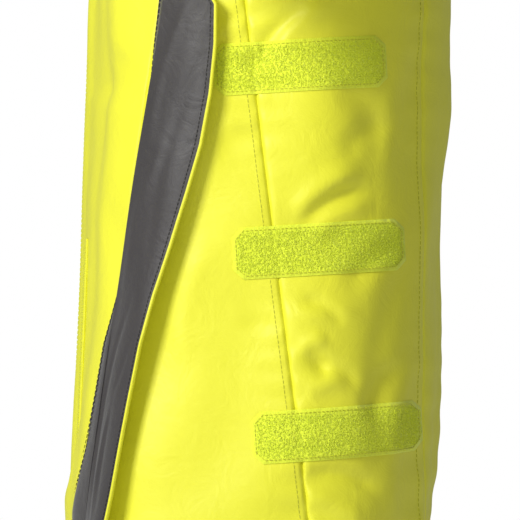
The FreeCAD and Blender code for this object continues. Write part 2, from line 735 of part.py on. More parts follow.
def make_hanger_loop():
    width, tall, bar = size("loop_width"), size("loop_height"), size("loop_bar")
    foot = neck_height + size("loop_foot_rise")
    y = size("loop_reach")
    corner = -width / 2, y, foot
    frame = box("loop_frame", corner, "Sizes.loop_width", "Sizes.loop_wall", "Sizes.loop_height")
    eye = box("loop_eye", (-width / 2 + bar, y - 1, foot + bar), "Sizes.loop_width - 2 * Sizes.loop_bar",
              "Sizes.loop_wall + 2", "Sizes.loop_height - 2 * Sizes.loop_bar")
    stem = box("loop_stem", (-width / 2, y, foot), "Sizes.loop_width", tall, "Sizes.loop_bar")
    seat = common("loop_seat", stem, form("torso", lining_inner - gap))
    subpart("hanger_loop", fuse("hanger_loop", cut("loop_ring", frame, eye), seat))


def main():
    make_panels()
    make_lining()
    make_collar()
    make_hood()
    make_sleeves()
    make_cuff_tabs()
    make_vent_flaps()
    make_vent_strips()
    make_zip()
    make_slider()
    make_storm_flap()
    make_pockets()
    make_hanger_loop()
    doc.recompute()
    failed = [obj.Name for obj in doc.Objects if {"Invalid", "Error"} & set(obj.State)]
    assert not failed, f"failed objects: {failed}"
    os.makedirs("parts", exist_ok=True)
    for name, obj in subparts.items():
        shape = obj.Shape
        assert not shape.isNull() and shape.isValid() and shape.Solids, f"bad shape: {name}"
        shape.exportStep(f"parts/{name}.step")
        print(name, len(shape.Solids), round(shape.Volume))
    print(len(subparts), "sub-parts; origin at", loop_point())


main()
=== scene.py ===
import math
import bmesh
import bpy
import numpy as np
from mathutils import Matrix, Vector


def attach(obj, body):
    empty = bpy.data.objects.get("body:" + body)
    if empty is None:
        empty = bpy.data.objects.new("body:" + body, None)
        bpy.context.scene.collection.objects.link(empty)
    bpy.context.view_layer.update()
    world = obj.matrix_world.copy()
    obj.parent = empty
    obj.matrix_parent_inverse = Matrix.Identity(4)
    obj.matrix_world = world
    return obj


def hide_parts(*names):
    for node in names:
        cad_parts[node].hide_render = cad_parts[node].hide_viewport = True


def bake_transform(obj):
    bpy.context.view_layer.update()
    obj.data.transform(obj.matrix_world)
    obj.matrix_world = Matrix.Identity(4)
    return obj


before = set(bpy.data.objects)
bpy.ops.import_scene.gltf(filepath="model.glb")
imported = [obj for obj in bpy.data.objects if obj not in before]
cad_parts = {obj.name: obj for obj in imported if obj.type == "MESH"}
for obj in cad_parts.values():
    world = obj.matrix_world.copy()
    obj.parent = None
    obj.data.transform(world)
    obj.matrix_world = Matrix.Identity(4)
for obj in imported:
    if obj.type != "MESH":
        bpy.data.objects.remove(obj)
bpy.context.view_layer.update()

# the jacket's form, in mm above the hem: height, half width, front, back, squareness
torso = [[0, 240, 148, 126, 3.6], [500, 230, 130, 144, 3.0], [600, 218, 116, 136, 2.8],
    [660, 190, 98, 122, 2.6], [705, 140, 82, 104, 2.4], [745, 94, 74, 90, 2.2], [820, 88, 84, 80, 2.2]]
hood = [[700, 112, 82, 96, 3.0], [745, 117, 90, 104, 2.9], [815, 124, 118, 120, 2.3],
    [895, 130, 134, 132, 2.3], [975, 118, 126, 126, 2.3], [1025, 84, 92, 100, 2.2],
    [1045, 46, 52, 62, 2.0]]
origin = np.array([0.0, 71.5, 786.0])     # the frame's zero, on the form
mirror = np.array([-1, 1, 1])
arm = {"start": (130.0, 4.0, 592.0), "drop": 8.0, "length": 690.0, "top": 112.0, "cuff": 73.0}
sides = ("left", "right")
quarter = math.pi / 2


def smooth(low, high, value):
    t = np.clip((value - low) / (high - low), 0, 1)
    return t * t * (3 - 2 * t)


def spread(*values):
    return np.broadcast_arrays(*(np.asarray(v, float) for v in values))


def sizesAt(levels, z):
    # half width, half depth, middle and squareness, on a curve through the levels
    rows = np.array(levels, float)
    heights, sizes = rows[:, 0], rows[:, 1:]
    flat = z.ravel()
    i = np.clip(np.searchsorted(heights, flat, side="right") - 1, 0, len(rows) - 2)
    span = (heights[i + 1] - heights[i])[:, None]
    t = (flat - heights[i])[:, None] / span
    slope = np.empty_like(sizes)
    slope[:2] = (sizes[1] - sizes[0]) / (heights[1] - heights[0])
    for k in range(2, len(rows) - 1):
        slope[k] = (sizes[k + 1] - sizes[k - 1]) / (heights[k + 1] - heights[k - 1])
    slope[-1] = (sizes[-1] - sizes[-2]) / (heights[-1] - heights[-2])
    low, high = sizes[i], sizes[i + 1]
    curved = (low * (2 * t ** 3 - 3 * t ** 2 + 1) + slope[i] * span * (t ** 3 - 2 * t ** 2 + t)
        + high * (3 * t ** 2 - 2 * t ** 3) + slope[i + 1] * span * (t ** 3 - t ** 2))
    straight = (i == 0)[:, None] | (t < 0) | (t > 1)
    found = np.where(straight, low + (high - low) * t, curved).T
    wide, front, back, square = (v.reshape(z.shape) for v in found)
    return wide, (front + back) / 2, (back - front) / 2, square


def formPoint(levels, z, angle, offset=0.0, lift=1.0):
    z, angle, offset = spread(z, angle, offset)
    wide, deep, middle, square = sizesAt(levels, z)
    across, along = np.cos(angle), np.sin(angle)
    reach = (np.abs(across / (wide + offset)) ** square
        + np.abs(along / (deep + offset)) ** square) ** (-1 / square)
    rise = smooth(500, 660, z) * lift
    return np.stack([reach * across, middle + reach * along, z + offset * rise], -1)


def insideness(levels, p):
    # below 1 inside the form, above 1 outside
    wide, deep, middle, square = sizesAt(levels, p[..., 2])
    return np.abs(p[..., 0] / wide) ** square + np.abs((p[..., 1] - middle) / deep) ** square


def angleAtSide(z, y):
    z, y = spread(z, y)
    wide, deep, middle, square = sizesAt(torso, z)
    share = np.clip(np.abs(y - middle) / deep, 0, 0.9995)
    return np.arctan2(y - middle, wide * (1 - share ** square) ** (1 / square))


def angleAtFront(z, x):
    z, x = spread(z, x)
    wide, deep, _, square = sizesAt(torso, z)
    share = np.clip(np.abs(x) / wide, 0, 0.9995)
    return np.arctan2(-deep * (1 - share ** square) ** (1 / square), x)


def hingeLine(z):
    return -130 + 54 * (z - 60) / 380


def seamLine(z):
    return 34 - 47 * (z - 60) / 380


# drape of the body fabric: soft waves, then single folds given by their two ends
drapeSet = {"waves": 26, "seed": 11, "height": 3.1, "ripple": 0.55, "flare": 13.0, "folds": 1.15,
    "turnIn": 5.0}
# y, z, y, z, depth, width, on the wearer's left side
sideFolds = [(-6, 392, 34, 436, -3.4, 6), (10, 404, 44, 438, 2.0, 7), (30, 279, 74, 304, -3.2, 6),
    (36, 268, 80, 290, 2.4, 7), (8, 196, 66, 214, 1.6, 9), (30, 222, 58, 206, -2.4, 5),
    (34, 176, 70, 160, -2.2, 6), (30, 150, 62, 164, 1.8, 7), (36, 96, 84, 84, -2.6, 6),
    (34, 76, 74, 60, 2.2, 8), (60, 330, 96, 352, -1.8, 9), (84, 120, 110, 250, -2.0, 11),
    (-60, 180, -40, 260, 1.4, 9), (-104, 402, -128, 372, -3.6, 12), (96, 300, 116, 420, 1.6, 10),
    (-30, 330, 6, 344, -1.3, 10), (-12, 206, 24, 190, -1.2, 8), (8, 40, 60, 30, 1.6, 9),
    (-118, 300, -108, 200, -2.0, 10), (100, 60, 118, 180, 1.8, 9), (40, 480, 70, 560, -2.2, 12),
    (-40, 500, -70, 566, -2.0, 12), (20, 455, 60, 470, 1.6, 10), (30, 184, 47, 167, -3.0, 6),
    (28, 182, 45, 194, 2.4, 7), (81, 135, 101, 172, -3.0, 9), (25, 281, 69, 316, 3.4, 10),
    (-128, 60, -112, 420, -1.6, 8), (60, 380, 92, 330, -2.2, 12), (64, 232, 100, 262, -2.2, 10)]
rng = np.random.default_rng(drapeSet["seed"])
waveWay = rng.normal(size=(drapeSet["waves"], 3)) * np.array([1.0, 1.0, 0.55])
waveLong = np.exp(rng.uniform(math.log(60), math.log(240), drapeSet["waves"]))
wavePhase = rng.uniform(0, 2 * math.pi, drapeSet["waves"])
waveWay /= np.linalg.norm(waveWay, axis=1)[:, None]


def waves(p):
    total = np.zeros(p.shape[:-1])
    for way, length, phase in zip(waveWay, waveLong, wavePhase):
        warp = 9 * np.sin(p[..., 2] / 47 + phase)
        total += np.sin((p @ way + warp) * 2 * math.pi / length + phase) * (length / 240) ** 0.5
    return total / math.sqrt(drapeSet["waves"] / 2)


def foldsAt(u, v, folds):
    total = np.zeros_like(u)
    for a, b, c, d, depth, width in folds:
        way = np.array([c - a, d - b], float)
        length = float(np.hypot(*way))
        way /= length
        s = ((u - a) * way[0] + (v - b) * way[1]) / length
        bow = 0.07 * length * np.sin(np.clip(s, 0, 1) * math.pi)
        off = (u - a) * way[1] - (v - b) * way[0] + bow
        end = smooth(-0.18, 0.25, s) * (1 - smooth(0.75, 1.18, s))
        total += depth * end * np.exp(-(off / width) ** 2)
    return total


def seamPull(distance, along, step, strength=1.0):
    groove = -0.9 * np.exp(-(distance / 2.2) ** 2)
    swell = 0.6 + 0.4 * np.sin(along / 57.0)
    beat = np.sin(along / step * 2 * math.pi + 1.3 * np.sin(along / 31.0)) * swell
    reach = np.exp(-(np.abs(distance) / 16) ** 1.4) * (1 - np.exp(-(distance / 2.0) ** 2))
    return strength * (groove + 0.85 * reach * beat)


def armHole(p):
    # distance past the sleeve's surface, negative inside it
    best = np.full(p.shape[:-1], 1e3)
    drop = math.radians(arm["drop"])
    for side in (1, -1):
        q = p * np.array([side, 1, 1]) - np.array(arm["start"])
        s = q[..., 0] * math.cos(drop) - q[..., 2] * math.sin(drop)
        r = np.sqrt(np.maximum((q ** 2).sum(-1) - s ** 2, 0))
        radius = arm["top"] - (arm["top"] - arm["cuff"]) * s / arm["length"]
        best = np.minimum(best, np.where(s > -105, r - radius, 1e3))
    return best


def drape(p):
    x, y, z = p[..., 0], p[..., 1], p[..., 2]
    low = 1 - smooth(560, 640, z)
    d = drapeSet["height"] * waves(p) * (0.45 + 0.55 * low)
    left = smooth(20, 90, x)
    right = smooth(20, 90, -x)
    d += left * foldsAt(y, z, sideFolds) * drapeSet["folds"]
    d += right * foldsAt(-y * 0.9 + 6, z * 0.97 + 12, sideFolds) * drapeSet["folds"] * 0.85
    away = np.abs(x)
    d -= drapeSet["turnIn"] * smooth(24, 125, y) ** 1.3 * smooth(120, 215, away) * low
    beside = smooth(40, 110, away) * low
    d += beside * seamPull((y - seamLine(z)) * 0.99, z, 19.0, 1.25)
    d += beside * 0.35 * drapeSet["ripple"] * seamPull((y - hingeLine(z)) * 0.99, z, 23.0)
    d += 0.9 * seamPull(np.abs(away - 14), z, 17.0, 0.6) * (y < 0) * (z < 760)
    back = np.where(y > 60, y - 124, 1e3)
    d += seamPull(back * 1.4, z, 27.0, 0.8) * low
    turn = np.arctan2(y, x)
    for height, girth, step, pull in ((590, 150, 16.0, 0.9), (745, 90, 12.0, 0.9), (38, 190, 21.0, 0.8)):
        d += seamPull(z - height, turn * girth, step, pull)
    d += seamPull(armHole(p) - 1, y + z, 15.0, 1.0) * (z > 440) * (away > 60)
    # the fabric is drawn forwards below the vent flap's lower end
    reach = np.exp(-((y - hingeLine(z) + 13) / 13) ** 2) * smooth(60, 140, away)
    d += drapeSet["flare"] * (1 - smooth(30, 215, z)) * reach
    # quiet under the zip and the pocket flaps
    calm = smooth(26, 62, away) + (y > 0)
    pocket = np.exp(-(((away - 98) / 30) ** 4)) * (y < -60) * smooth(70, 110, z) * (1 - smooth(270, 310, z))
    return d * np.clip(calm, 0, 1) * (1 - 0.85 * pocket)


def settle(p):
    # the fronts lie back a little beside the zip
    away = np.abs(p[..., 0])
    front = smooth(38, 72, away) * (1 - smooth(140, 178, away)) * (p[..., 1] < -50)
    return -4.5 * front * (1 - smooth(440, 560, p[..., 2]))


handed = {"right": False}       # true while pieces drawn on the left are laid on the right


def skin(z, angle, offset=0.0, loose=1.0):
    z, angle, offset = spread(z, angle, offset)
    flat = formPoint(torso, z, angle)
    if handed["right"]:
        flat = flat * mirror
    return formPoint(torso, z, angle, offset + loose * drape(flat) + settle(flat))


def laid(points):
    return (points * mirror)[..., ::-1, :] if handed["right"] else points


def toFrame(p):
    return (np.asarray(p, float) - origin) / 1000


# materials
def newMaterial(name):
    material = bpy.data.materials.new(name)
    material.use_nodes = True
    tree = material.node_tree
    tree.nodes.clear()
    shader = add(tree, "ShaderNodeBsdfPrincipled")
    add(tree, "ShaderNodeOutputMaterial", {"Surface": shader.outputs["BSDF"]})
    return material, tree, shader


def add(tree, kind, links=None, **values):
    node = tree.nodes.new(kind)
    for key, value in values.items():
        if key in node.inputs:
            node.inputs[key].default_value = value
        else:
            setattr(node, key, value)
    for key, socket in (links or {}).items():
        tree.links.new(socket, node.inputs[key])
    return node


def mixColour(tree, factor, a, b):
    node = add(tree, "ShaderNodeMix", {"Factor": factor}, data_type="RGBA")
    for index, value in ((6, a), (7, b)):
        if isinstance(value, tuple):
            node.inputs[index].default_value = value + (1,)
        else:
            tree.links.new(value, node.inputs[index])
    return node.outputs[2]


def ramp(tree, socket, low=0.0, high=1.0, start=0.0, end=1.0):
    ends = {"From Min": low, "From Max": high, "To Min": start, "To Max": end}
    return add(tree, "ShaderNodeMapRange", {"Value": socket}, **ends).outputs["Result"]


def noise(tree, place, scale, detail, roughness, distortion=0.0):
    return add(tree, "ShaderNodeTexNoise", {"Vector": place}, Scale=scale, Detail=detail,
        Roughness=roughness, Distortion=distortion).outputs["Fac"]


def cloth(name, light, dark, thread=0.00055, roughness=(0.42, 0.6), weave=0.25, crush=0.5, sheen=0.0,
        glow=0.0, coat=0.0, fuzz=0.0, specular=0.4):
    material, tree, shader = newMaterial(name)
    uv = add(tree, "ShaderNodeUVMap", uv_map="UVMap").outputs["UV"]
    place = add(tree, "ShaderNodeTexCoord").outputs["Object"]
    cloudy = noise(tree, place, 9.0, 4.0, 0.6)
    grain = noise(tree, place, 160.0, 3.0, 0.6)
    crease = noise(tree, place, 38.0, 5.0, 0.62, 0.7)
    step = 2 * math.pi / thread / 20
    warp, weft = (add(tree, "ShaderNodeTexWave", {"Vector": uv}, Scale=step, wave_type="BANDS",
        bands_direction=way).outputs["Fac"] for way in "XY")
    cross = add(tree, "ShaderNodeMath", {0: warp, 1: weft}, operation="MULTIPLY").outputs["Value"]
    shade = mixColour(tree, ramp(tree, cloudy, 0.3, 0.7), dark, light)
    speck = mixColour(tree, ramp(tree, grain, 0.62, 0.8), shade, dark)
    colour = mixColour(tree, ramp(tree, cross, 1.0, -0.6), speck, tuple(v * 0.72 for v in dark))
    tree.links.new(colour, shader.inputs["Base Color"])
    tree.links.new(ramp(tree, crease, start=roughness[0], end=roughness[1]), shader.inputs["Roughness"])
    last = add(tree, "ShaderNodeBump", {"Height": cross}, Strength=weave, Distance=0.0001)
    last = add(tree, "ShaderNodeBump", {"Height": crease, "Normal": last.outputs["Normal"]},
        Strength=crush, Distance=0.0022)
    if fuzz:
        last = add(tree, "ShaderNodeBump", {"Height": grain, "Normal": last.outputs["Normal"]},
            Strength=fuzz, Distance=0.0012)
    tree.links.new(last.outputs["Normal"], shader.inputs["Normal"])
    for key, value in (("Specular IOR Level", specular), ("Sheen Weight", sheen), ("Coat Weight", coat),
            ("Coat Roughness", 0.35)):
        shader.inputs[key].default_value = value
    # glow is painted light: the cloth gives off its own colour as emission, standing in for the yellow's
    # fluorescence and lightening its shade
    if glow:
        tree.links.new(colour, shader.inputs["Emission Color"])
        shader.inputs["Emission Strength"].default_value = glow
    return material


def hard(name, colour, worn, metallic, roughness):
    material, tree, shader = newMaterial(name)
    marks = noise(tree, add(tree, "ShaderNodeTexCoord").outputs["Object"], 300.0, 4.0, 0.65)
    tone = mixColour(tree, ramp(tree, marks, 0.35, 0.75), colour, worn)
    bump = add(tree, "ShaderNodeBump", {"Height": marks}, Strength=0.2, Distance=0.0002)
    tree.links.new(tone, shader.inputs["Base Color"])
    tree.links.new(ramp(tree, marks, start=roughness[0], end=roughness[1]), shader.inputs["Roughness"])
    tree.links.new(bump.outputs["Normal"], shader.inputs["Normal"])
    shader.inputs["Metallic"].default_value = metallic
    return material


# the yellow shell's glow is painted light that lightens its shaded parts
yellowShell = cloth("coated yellow", (0.89, 0.87, 0.050), (0.83, 0.82, 0.035), glow=0.06, coat=0.12)
greyFacing = cloth("satin grey", (0.053, 0.047, 0.048), (0.036, 0.032, 0.033), thread=0.0007, weave=0.5,
    crush=0.5, sheen=0.25, roughness=(0.38, 0.55))
greyLining = cloth("lining grey", (0.21, 0.205, 0.205), (0.15, 0.147, 0.15), thread=0.0011, weave=0.6,
    sheen=0.2, roughness=(0.6, 0.8))
# the loop pile's glow is painted light that lightens the shade among its loops
loopPile = cloth("loop pile", (0.93, 1.0, 0.07), (0.82, 0.92, 0.055), thread=0.0013, weave=0.9, fuzz=0.9,
    roughness=(0.75, 0.95), glow=0.02, sheen=0.3, specular=0.15)
hookPile = cloth("hook pile", (0.50, 0.56, 0.09), (0.38, 0.44, 0.06), thread=0.0013, weave=1.0, fuzz=0.6,
    roughness=(0.4, 0.6))
tapeWeave = cloth("zip tape weave", (0.035, 0.036, 0.038), (0.022, 0.022, 0.024), thread=0.0009,
    weave=0.9, roughness=(0.65, 0.85))
threads = {"yellow": cloth("yellow thread", (0.74, 0.74, 0.05), (0.60, 0.61, 0.03), thread=0.0004,
    roughness=(0.5, 0.7)),
    "dark": cloth("dark thread", (0.030, 0.026, 0.024), (0.018, 0.016, 0.016), thread=0.0004,
    roughness=(0.5, 0.7))}
toothPlastic = hard("tooth plastic", (0.045, 0.045, 0.05), (0.075, 0.075, 0.08), 0.0, (0.3, 0.5))
zipMetal = hard("zip metal", (0.42, 0.42, 0.43), (0.6, 0.6, 0.6), 1.0, (0.22, 0.42))
slotOf = {"coated yellow": "shell_fabric", "satin grey": "grey_fabric", "lining grey": "grey_fabric",
    "loop pile": "loop_pile", "hook pile": "hook_pile", "zip tape weave": "zip_tape"}
print("materials", len(bpy.data.materials))


# meshes
def gridMesh(name, points, material, keep=None):
    rows, cols = points.shape[:2]
    verts = toFrame(points).reshape(-1, 3)
    r, c = np.meshgrid(np.arange(rows - 1), np.arange(cols - 1), indexing="ij")
    first = (r * cols + c).ravel()
    faces = np.stack([first, first + 1, first + cols + 1, first + cols], 1)
    if keep is not None:
        faces = faces[keep.ravel()]
    used = np.unique(faces)
    index = np.full(rows * cols, -1)
    index[used] = np.arange(len(used))
    mesh = bpy.data.meshes.new(name)
    mesh.from_pydata(verts[used].tolist(), [], index[faces].tolist())
    # the weave follows the cloth: its own lengths across and up
    step = np.linalg.norm(np.diff(points, axis=1), axis=2)
    u = np.concatenate([np.zeros((rows, 1)), np.cumsum(step, 1)], 1)
    u -= u[:, cols // 2:cols // 2 + 1]
    rise = np.linalg.norm(np.diff(points, axis=0), axis=2)
    v = np.concatenate([np.zeros((1, cols)), np.cumsum(rise, 0)], 0)
    flatUv = (np.stack([u, v], -1) / 1000).reshape(-1, 2)[used]
    corner = np.empty(len(mesh.loops), int)
    mesh.loops.foreach_get("vertex_index", corner)
    mesh.uv_layers.new(name="UVMap").data.foreach_set("uv", flatUv[corner].ravel())
    mesh.polygons.foreach_set("use_smooth", [True] * len(mesh.polygons))
    mesh.materials.append(material)
    return newObject(name, mesh)


def newObject(name, data):
    obj = bpy.data.objects.new(name, data)
    bpy.context.scene.collection.objects.link(obj)
    return obj


def realised(obj):
    return bpy.data.meshes.new_from_object(obj.evaluated_get(bpy.context.evaluated_depsgraph_get()))


def thicken(obj, wall, outwards=False):
    modifier = obj.modifiers.new("wall", "SOLIDIFY")
    modifier.thickness = wall / 1000
    modifier.offset = 1 if outwards else -1
    mesh = realised(obj)
    obj.modifiers.clear()
    obj.data = mesh


def areaOf(obj):
    return sum(face.area for face in obj.data.polygons)


def sharpen(obj, limit=50):
    bm = bmesh.new()
    bm.from_mesh(obj.data)
    for edge in bm.edges:
        if len(edge.link_faces) == 2:
            edge.smooth = edge.calc_face_angle(0) < math.radians(limit)
    bm.to_mesh(obj.data)
    bm.free()


def nodeOf(name):
    return "".join("_" + letter.lower() if letter.isupper() else letter for letter in name)


def finishCloth(obj, wall, size, body="jacket", soft=True):
    area, slot = areaOf(obj), slotOf[obj.data.materials[0].name]
    thicken(obj, wall)
    obj.data.polygons.foreach_set("use_smooth", [True] * len(obj.data.polygons))
    sharpen(obj)
    if nodeOf(obj.name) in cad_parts:
        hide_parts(nodeOf(obj.name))
    if body:
        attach(obj, body)
    if soft:
        wide, tall = size[0] / 1000, size[1] / 1000
        wide = min(max(wide, area / tall), area / tall / 0.32)
    return obj


def clothPiece(name, points, material, wall, size, body="jacket", soft=True, keep=None):
    return finishCloth(gridMesh(name, points, material, keep), wall, size, body, soft)


def between(a, b, count):
    t = np.linspace(0, 1, count)
    return a + (b - a) * t


def steps(length, pitch):
    return max(2, int(round(length / pitch)) + 1)


def panelPoints(z, start, end, cols, offset=0.0, loose=1.0, sunk=0.0):
    # a patch of the form between two angles at each height, its sewn sides sunk by a little
    t = np.linspace(0, 1, cols)
    edge = 0.35 / (cols - 1)
    if sunk:
        t = np.concatenate([[0, edge, 2 * edge], t[1:-1], [1 - 2 * edge, 1 - edge, 1]])
    t = t[None, :]
    angle = start[:, None] * (1 - t) + end[:, None] * t
    side = np.minimum(t, 1 - t) / edge
    return skin(z[:, None], angle, offset - sunk * np.exp(-(side / 0.9) ** 2), loose)


# geometry trees: each lays copies of one small piece and ends in a plain painted mesh
def rodObject(name, rings):
    # joins rings of points into a closed rod
    bm = bmesh.new()
    made = [[bm.verts.new(p) for p in ring] for ring in rings]
    for a, b in zip(made, made[1:]):
        for k in range(len(a)):
            after = (k + 1) % len(a)
            bm.faces.new((a[k], a[after], b[after], b[k]))
    bm.faces.new(made[0][::-1])
    bm.faces.new(made[-1])
    bmesh.ops.recalc_face_normals(bm, faces=bm.faces)
    mesh = bpy.data.meshes.new(name)
    bm.to_mesh(mesh)
    bm.free()
    return bpy.data.objects.new(name, mesh)


def startTree(name, numbers):
    tree = bpy.data.node_groups.new(name, "GeometryNodeTree")

    def socket(label, kind, way="INPUT"):
        return tree.interface.new_socket(label, in_out=way, socket_type="NodeSocket" + kind)

    socket("Geometry", "Geometry")
    for label, value in numbers.items():
        socket(label, "Int" if isinstance(value, int) else "Float").default_value = value
    socket("Piece", "Object")
    socket("Material", "Material")
    socket("Geometry", "Geometry", "OUTPUT")
    return tree, add(tree, "NodeGroupInput").outputs


def endTree(tree, given, points, rotation, size):
    scale = add(tree, "ShaderNodeCombineXYZ", {axis: given[name] for axis, name in zip("XYZ", size)})
    piece = add(tree, "GeometryNodeObjectInfo", {"Object": given["Piece"]})
    copies = add(tree, "GeometryNodeInstanceOnPoints", {
        "Points": points, "Instance": piece.outputs["Geometry"], "Rotation": rotation,
        "Scale": scale.outputs["Vector"]})
    real = add(tree, "GeometryNodeRealizeInstances", {"Geometry": copies.outputs["Instances"]})
    paint = add(tree, "GeometryNodeSetMaterial", {"Geometry": real.outputs["Geometry"],
        "Material": given["Material"]})
    add(tree, "NodeGroupOutput", {"Geometry": paint.outputs["Geometry"]})
    return tree


def stitchTree():
    tree, given = startTree("stitch run", {"Pitch": 0.0037, "Stitch length": 0.0028,
        "Thread width": 0.0007, "Thread height": 0.0005})
    points = add(tree, "GeometryNodeCurveToPoints", {"Curve": given["Geometry"], "Length": given["Pitch"]},
        mode="LENGTH")
    aim = add(tree, "FunctionNodeAlignRotationToVector", {"Vector": points.outputs["Tangent"]}, axis="X")
    return endTree(tree, given, points.outputs["Points"], aim.outputs["Rotation"],
        ("Stitch length", "Thread width", "Thread height"))


def runTree(obj, tree, values):
    modifier = obj.modifiers.new("run", "NODES")
    modifier.node_group = tree
    for item in tree.interface.items_tree:
        if item.in_out == "INPUT" and item.name in values:
            modifier[item.identifier] = values[item.name]
    mesh = realised(obj)
    bpy.data.objects.remove(obj)
    if not mesh.uv_layers:
        mesh.uv_layers.new(name="UVMap")
    return mesh


def addPiece(name, mesh, body):
    piece = newObject(name, mesh)
    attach(piece, body)


# a stitch is a thread capsule of five sides, thin at its ends
threadPiece = rodObject("thread", [[(along, 0.5 * radius * math.cos(k * 2 * math.pi / 5),
    0.5 * radius * math.sin(k * 2 * math.pi / 5)) for k in range(5)]
    for along, radius in ((-0.5, 0.35), (-0.3, 1.0), (0.3, 1.0), (0.5, 0.35))])
stitchRun = stitchTree()
runs = {}


def stitch(body, line, thread="yellow", slot="shell_fabric", pitch=3.7):
    # line: points in mm just proud of the fabric; kept until every run of a body is known
    runs.setdefault((body, thread, slot, pitch), []).append(toFrame(line))


def makeStitches():
    for (body, thread, slot, pitch), lines in runs.items():
        curve = bpy.data.curves.new("run", "CURVE")
        curve.dimensions = "3D"
        for line in lines:
            spline = curve.splines.new("POLY")
            spline.points.add(len(line) - 1)
            spline.points.foreach_set("co", np.column_stack([line, np.ones(len(line))]).ravel())
        name = f"{thread}_stitches_{body}" + ("" if slot == "shell_fabric" else "_" + slot)
        name += f"_{int(pitch * 10)}"
        mesh = runTree(newObject("run", curve), stitchRun, {
            "Pitch": pitch / 1000, "Stitch length": pitch * 0.76 / 1000, "Piece": threadPiece,
            "Material": threads[thread]})
        addPiece(name, mesh, body)


fine = 2.6      # grid pitch where it is seen most
plain = 4.6

# body panels
panelSet = {"wall": 1.1, "yoke": 590.0, "neck": 745.0, "collar": 820.0, "zipGap": 8.0, "backSeam": 124.0,
    "sunk": 1.5, "armGap": -7}


def formPanel(name, z, start, end, pitch, material, wall, held="draped", offset=0.0, loose=1.0, sunk=0.0,
        past=None):
    middle = panelPoints(z, start, end, 9)[len(z) // 2]
    cols = steps(float(np.linalg.norm(np.diff(middle, axis=0), axis=1).sum()), pitch)
    points = panelPoints(z, start, end, cols, offset, loose, sunk)
    keep = None
    if past is not None:
        keep = armHole((points[:-1, :-1] + points[1:, 1:]) / 2) > past
    across = float(np.linalg.norm(np.diff(points, axis=1), axis=2).sum(1).max())
    clothPiece(name, points, material, wall, (across, float(z[-1] - z[0])), keep=keep)


def shellPanel(name, z, start, end, pitch, past=None):
    formPanel(name, z, start, end, pitch, yellowShell, panelSet["wall"], sunk=panelSet["sunk"], past=past)


for side, pitch in zip(sides, (fine, plain)):
    z = between(0.0, panelSet["yoke"], steps(panelSet["yoke"], pitch))
    edges = [angleAtFront(z, panelSet["zipGap"]), angleAtSide(z, hingeLine(z)), angleAtSide(z, seamLine(z)),
        angleAtSide(z, panelSet["backSeam"])]
    for label, start, end in zip(("frontPanel", "ventGusset", "sideBackPanel"), edges, edges[1:]):
        if side == "right":
            start, end = math.pi - end, math.pi - start
        shellPanel(label + side.title(), z, start, end, pitch, panelSet["armGap"])
shellPanel("backPanel", z, edges[-1], math.pi - edges[-1], plain)
for name, low, high, pitch, past in (
        ("shoulderYoke", panelSet["yoke"], panelSet["neck"], plain, panelSet["armGap"]),
        ("collarShell", panelSet["neck"], panelSet["collar"], plain * 0.8, None)):
    z = between(low, high, steps(high - low, plain * 0.8))
    gap = angleAtFront(z, panelSet["zipGap"])
    shellPanel(name, z, gap, math.pi - gap, pitch, past)
print("body panels")

# linings, inside the panels: two heights, rows, distance from the zip, pitch, then the finish
for name, low, high, rows, away, pitch, finish in (
        ("bodyLining", 42.0, 742.0, steps(700, 9), 37.0, 9,
        {"material": greyLining, "wall": 0.7, "offset": -6.0, "loose": 0.85, "past": -4}),
        ("hemFacing", 0.5, 40.0, steps(40, 5), 37.0, 6,
        {"material": yellowShell, "wall": 0.9, "held": "folded", "offset": -2.2}),
        ("collarLining", 747.0, 819.5, steps(75, 5), 10.0, 5,
        {"material": greyLining, "wall": 0.8, "held": "folded", "offset": -2.4})):
    z = between(low, high, rows)
    gap = angleAtFront(z, away)
    formPanel(name, z, gap, math.pi - gap, pitch, **finish)

seamSet = {"proud": 0.25, "clear": 3}       # height of a stitch line, and its distance from the sleeve


def seamStitch(lineAngle, high):
    z = between(2, high, steps(high - 2, 2.5))
    angle = lineAngle(z)
    clear = armHole(skin(z, angle, seamSet["proud"])) > seamSet["clear"]
    for turned in (angle, math.pi - angle):
        stitch("jacket", skin(z, turned, seamSet["proud"])[clear])


def roundLine(z, count, gapHeight):
    gap = float(angleAtFront(gapHeight, 10.0))
    return skin(z, between(gap, math.pi - gap, count), seamSet["proud"])


seamStitch(lambda z: angleAtSide(z, seamLine(z) - 6.5), 588)
seamStitch(lambda z: angleAtSide(z, 120.0), 588)
seamStitch(lambda z: angleAtFront(z, 13.0), 815)
seamStitch(lambda z: angleAtFront(z, 33.0), 742)
for z in (12.0, 36.0, 740.0, 751.0, 814.0):
    stitch("jacket", roundLine(z, 700, z))
for z in (596.0, 601.0):
    line = roundLine(z, 900, 596.0)
    clear = armHole(line) > seamSet["clear"]
    for part in np.split(np.arange(900), np.where(np.diff(clear.astype(int)))[0] + 1):
        if clear[part[0]] and len(part) > 4:
            stitch("jacket", line[part])
print("linings and body stitches")

# sleeves
sleeveSet = {"rows": 150, "cols": 150, "wrinkle": 3.2}
drop = math.radians(arm["drop"])
armWay = np.array([math.cos(drop), 0, -math.sin(drop)])
armDown = np.array([-math.sin(drop), 0, -math.cos(drop)])
armBack = np.array([0.0, 1.0, 0.0])


def sleevePoint(s, turn, offset=0.0):
    s, turn, offset = spread(s, turn, offset)
    radius = arm["top"] - (arm["top"] - arm["cuff"]) * s / arm["length"] + offset
    return (np.array(arm["start"]) + s[..., None] * armWay + radius[..., None]
        * (np.cos(turn)[..., None] * armDown + np.sin(turn)[..., None] * armBack))


def sleeveStart(turn):
    # where each line of the sleeve leaves the body
    s = np.linspace(-110, 230, 700)
    out = insideness(torso, sleevePoint(s[None, :], turn[:, None])) > 1
    lastIn = np.where((~out).any(1), out.shape[1] - 1 - np.argmax(~out[:, ::-1], axis=1), 0)
    start = s[np.clip(lastIn, 0, len(s) - 1)]
    for lap in range(2):
        start[:-1] = (np.roll(start[:-1], 1) + 2 * start[:-1] + np.roll(start[:-1], -1)) / 4
    return start


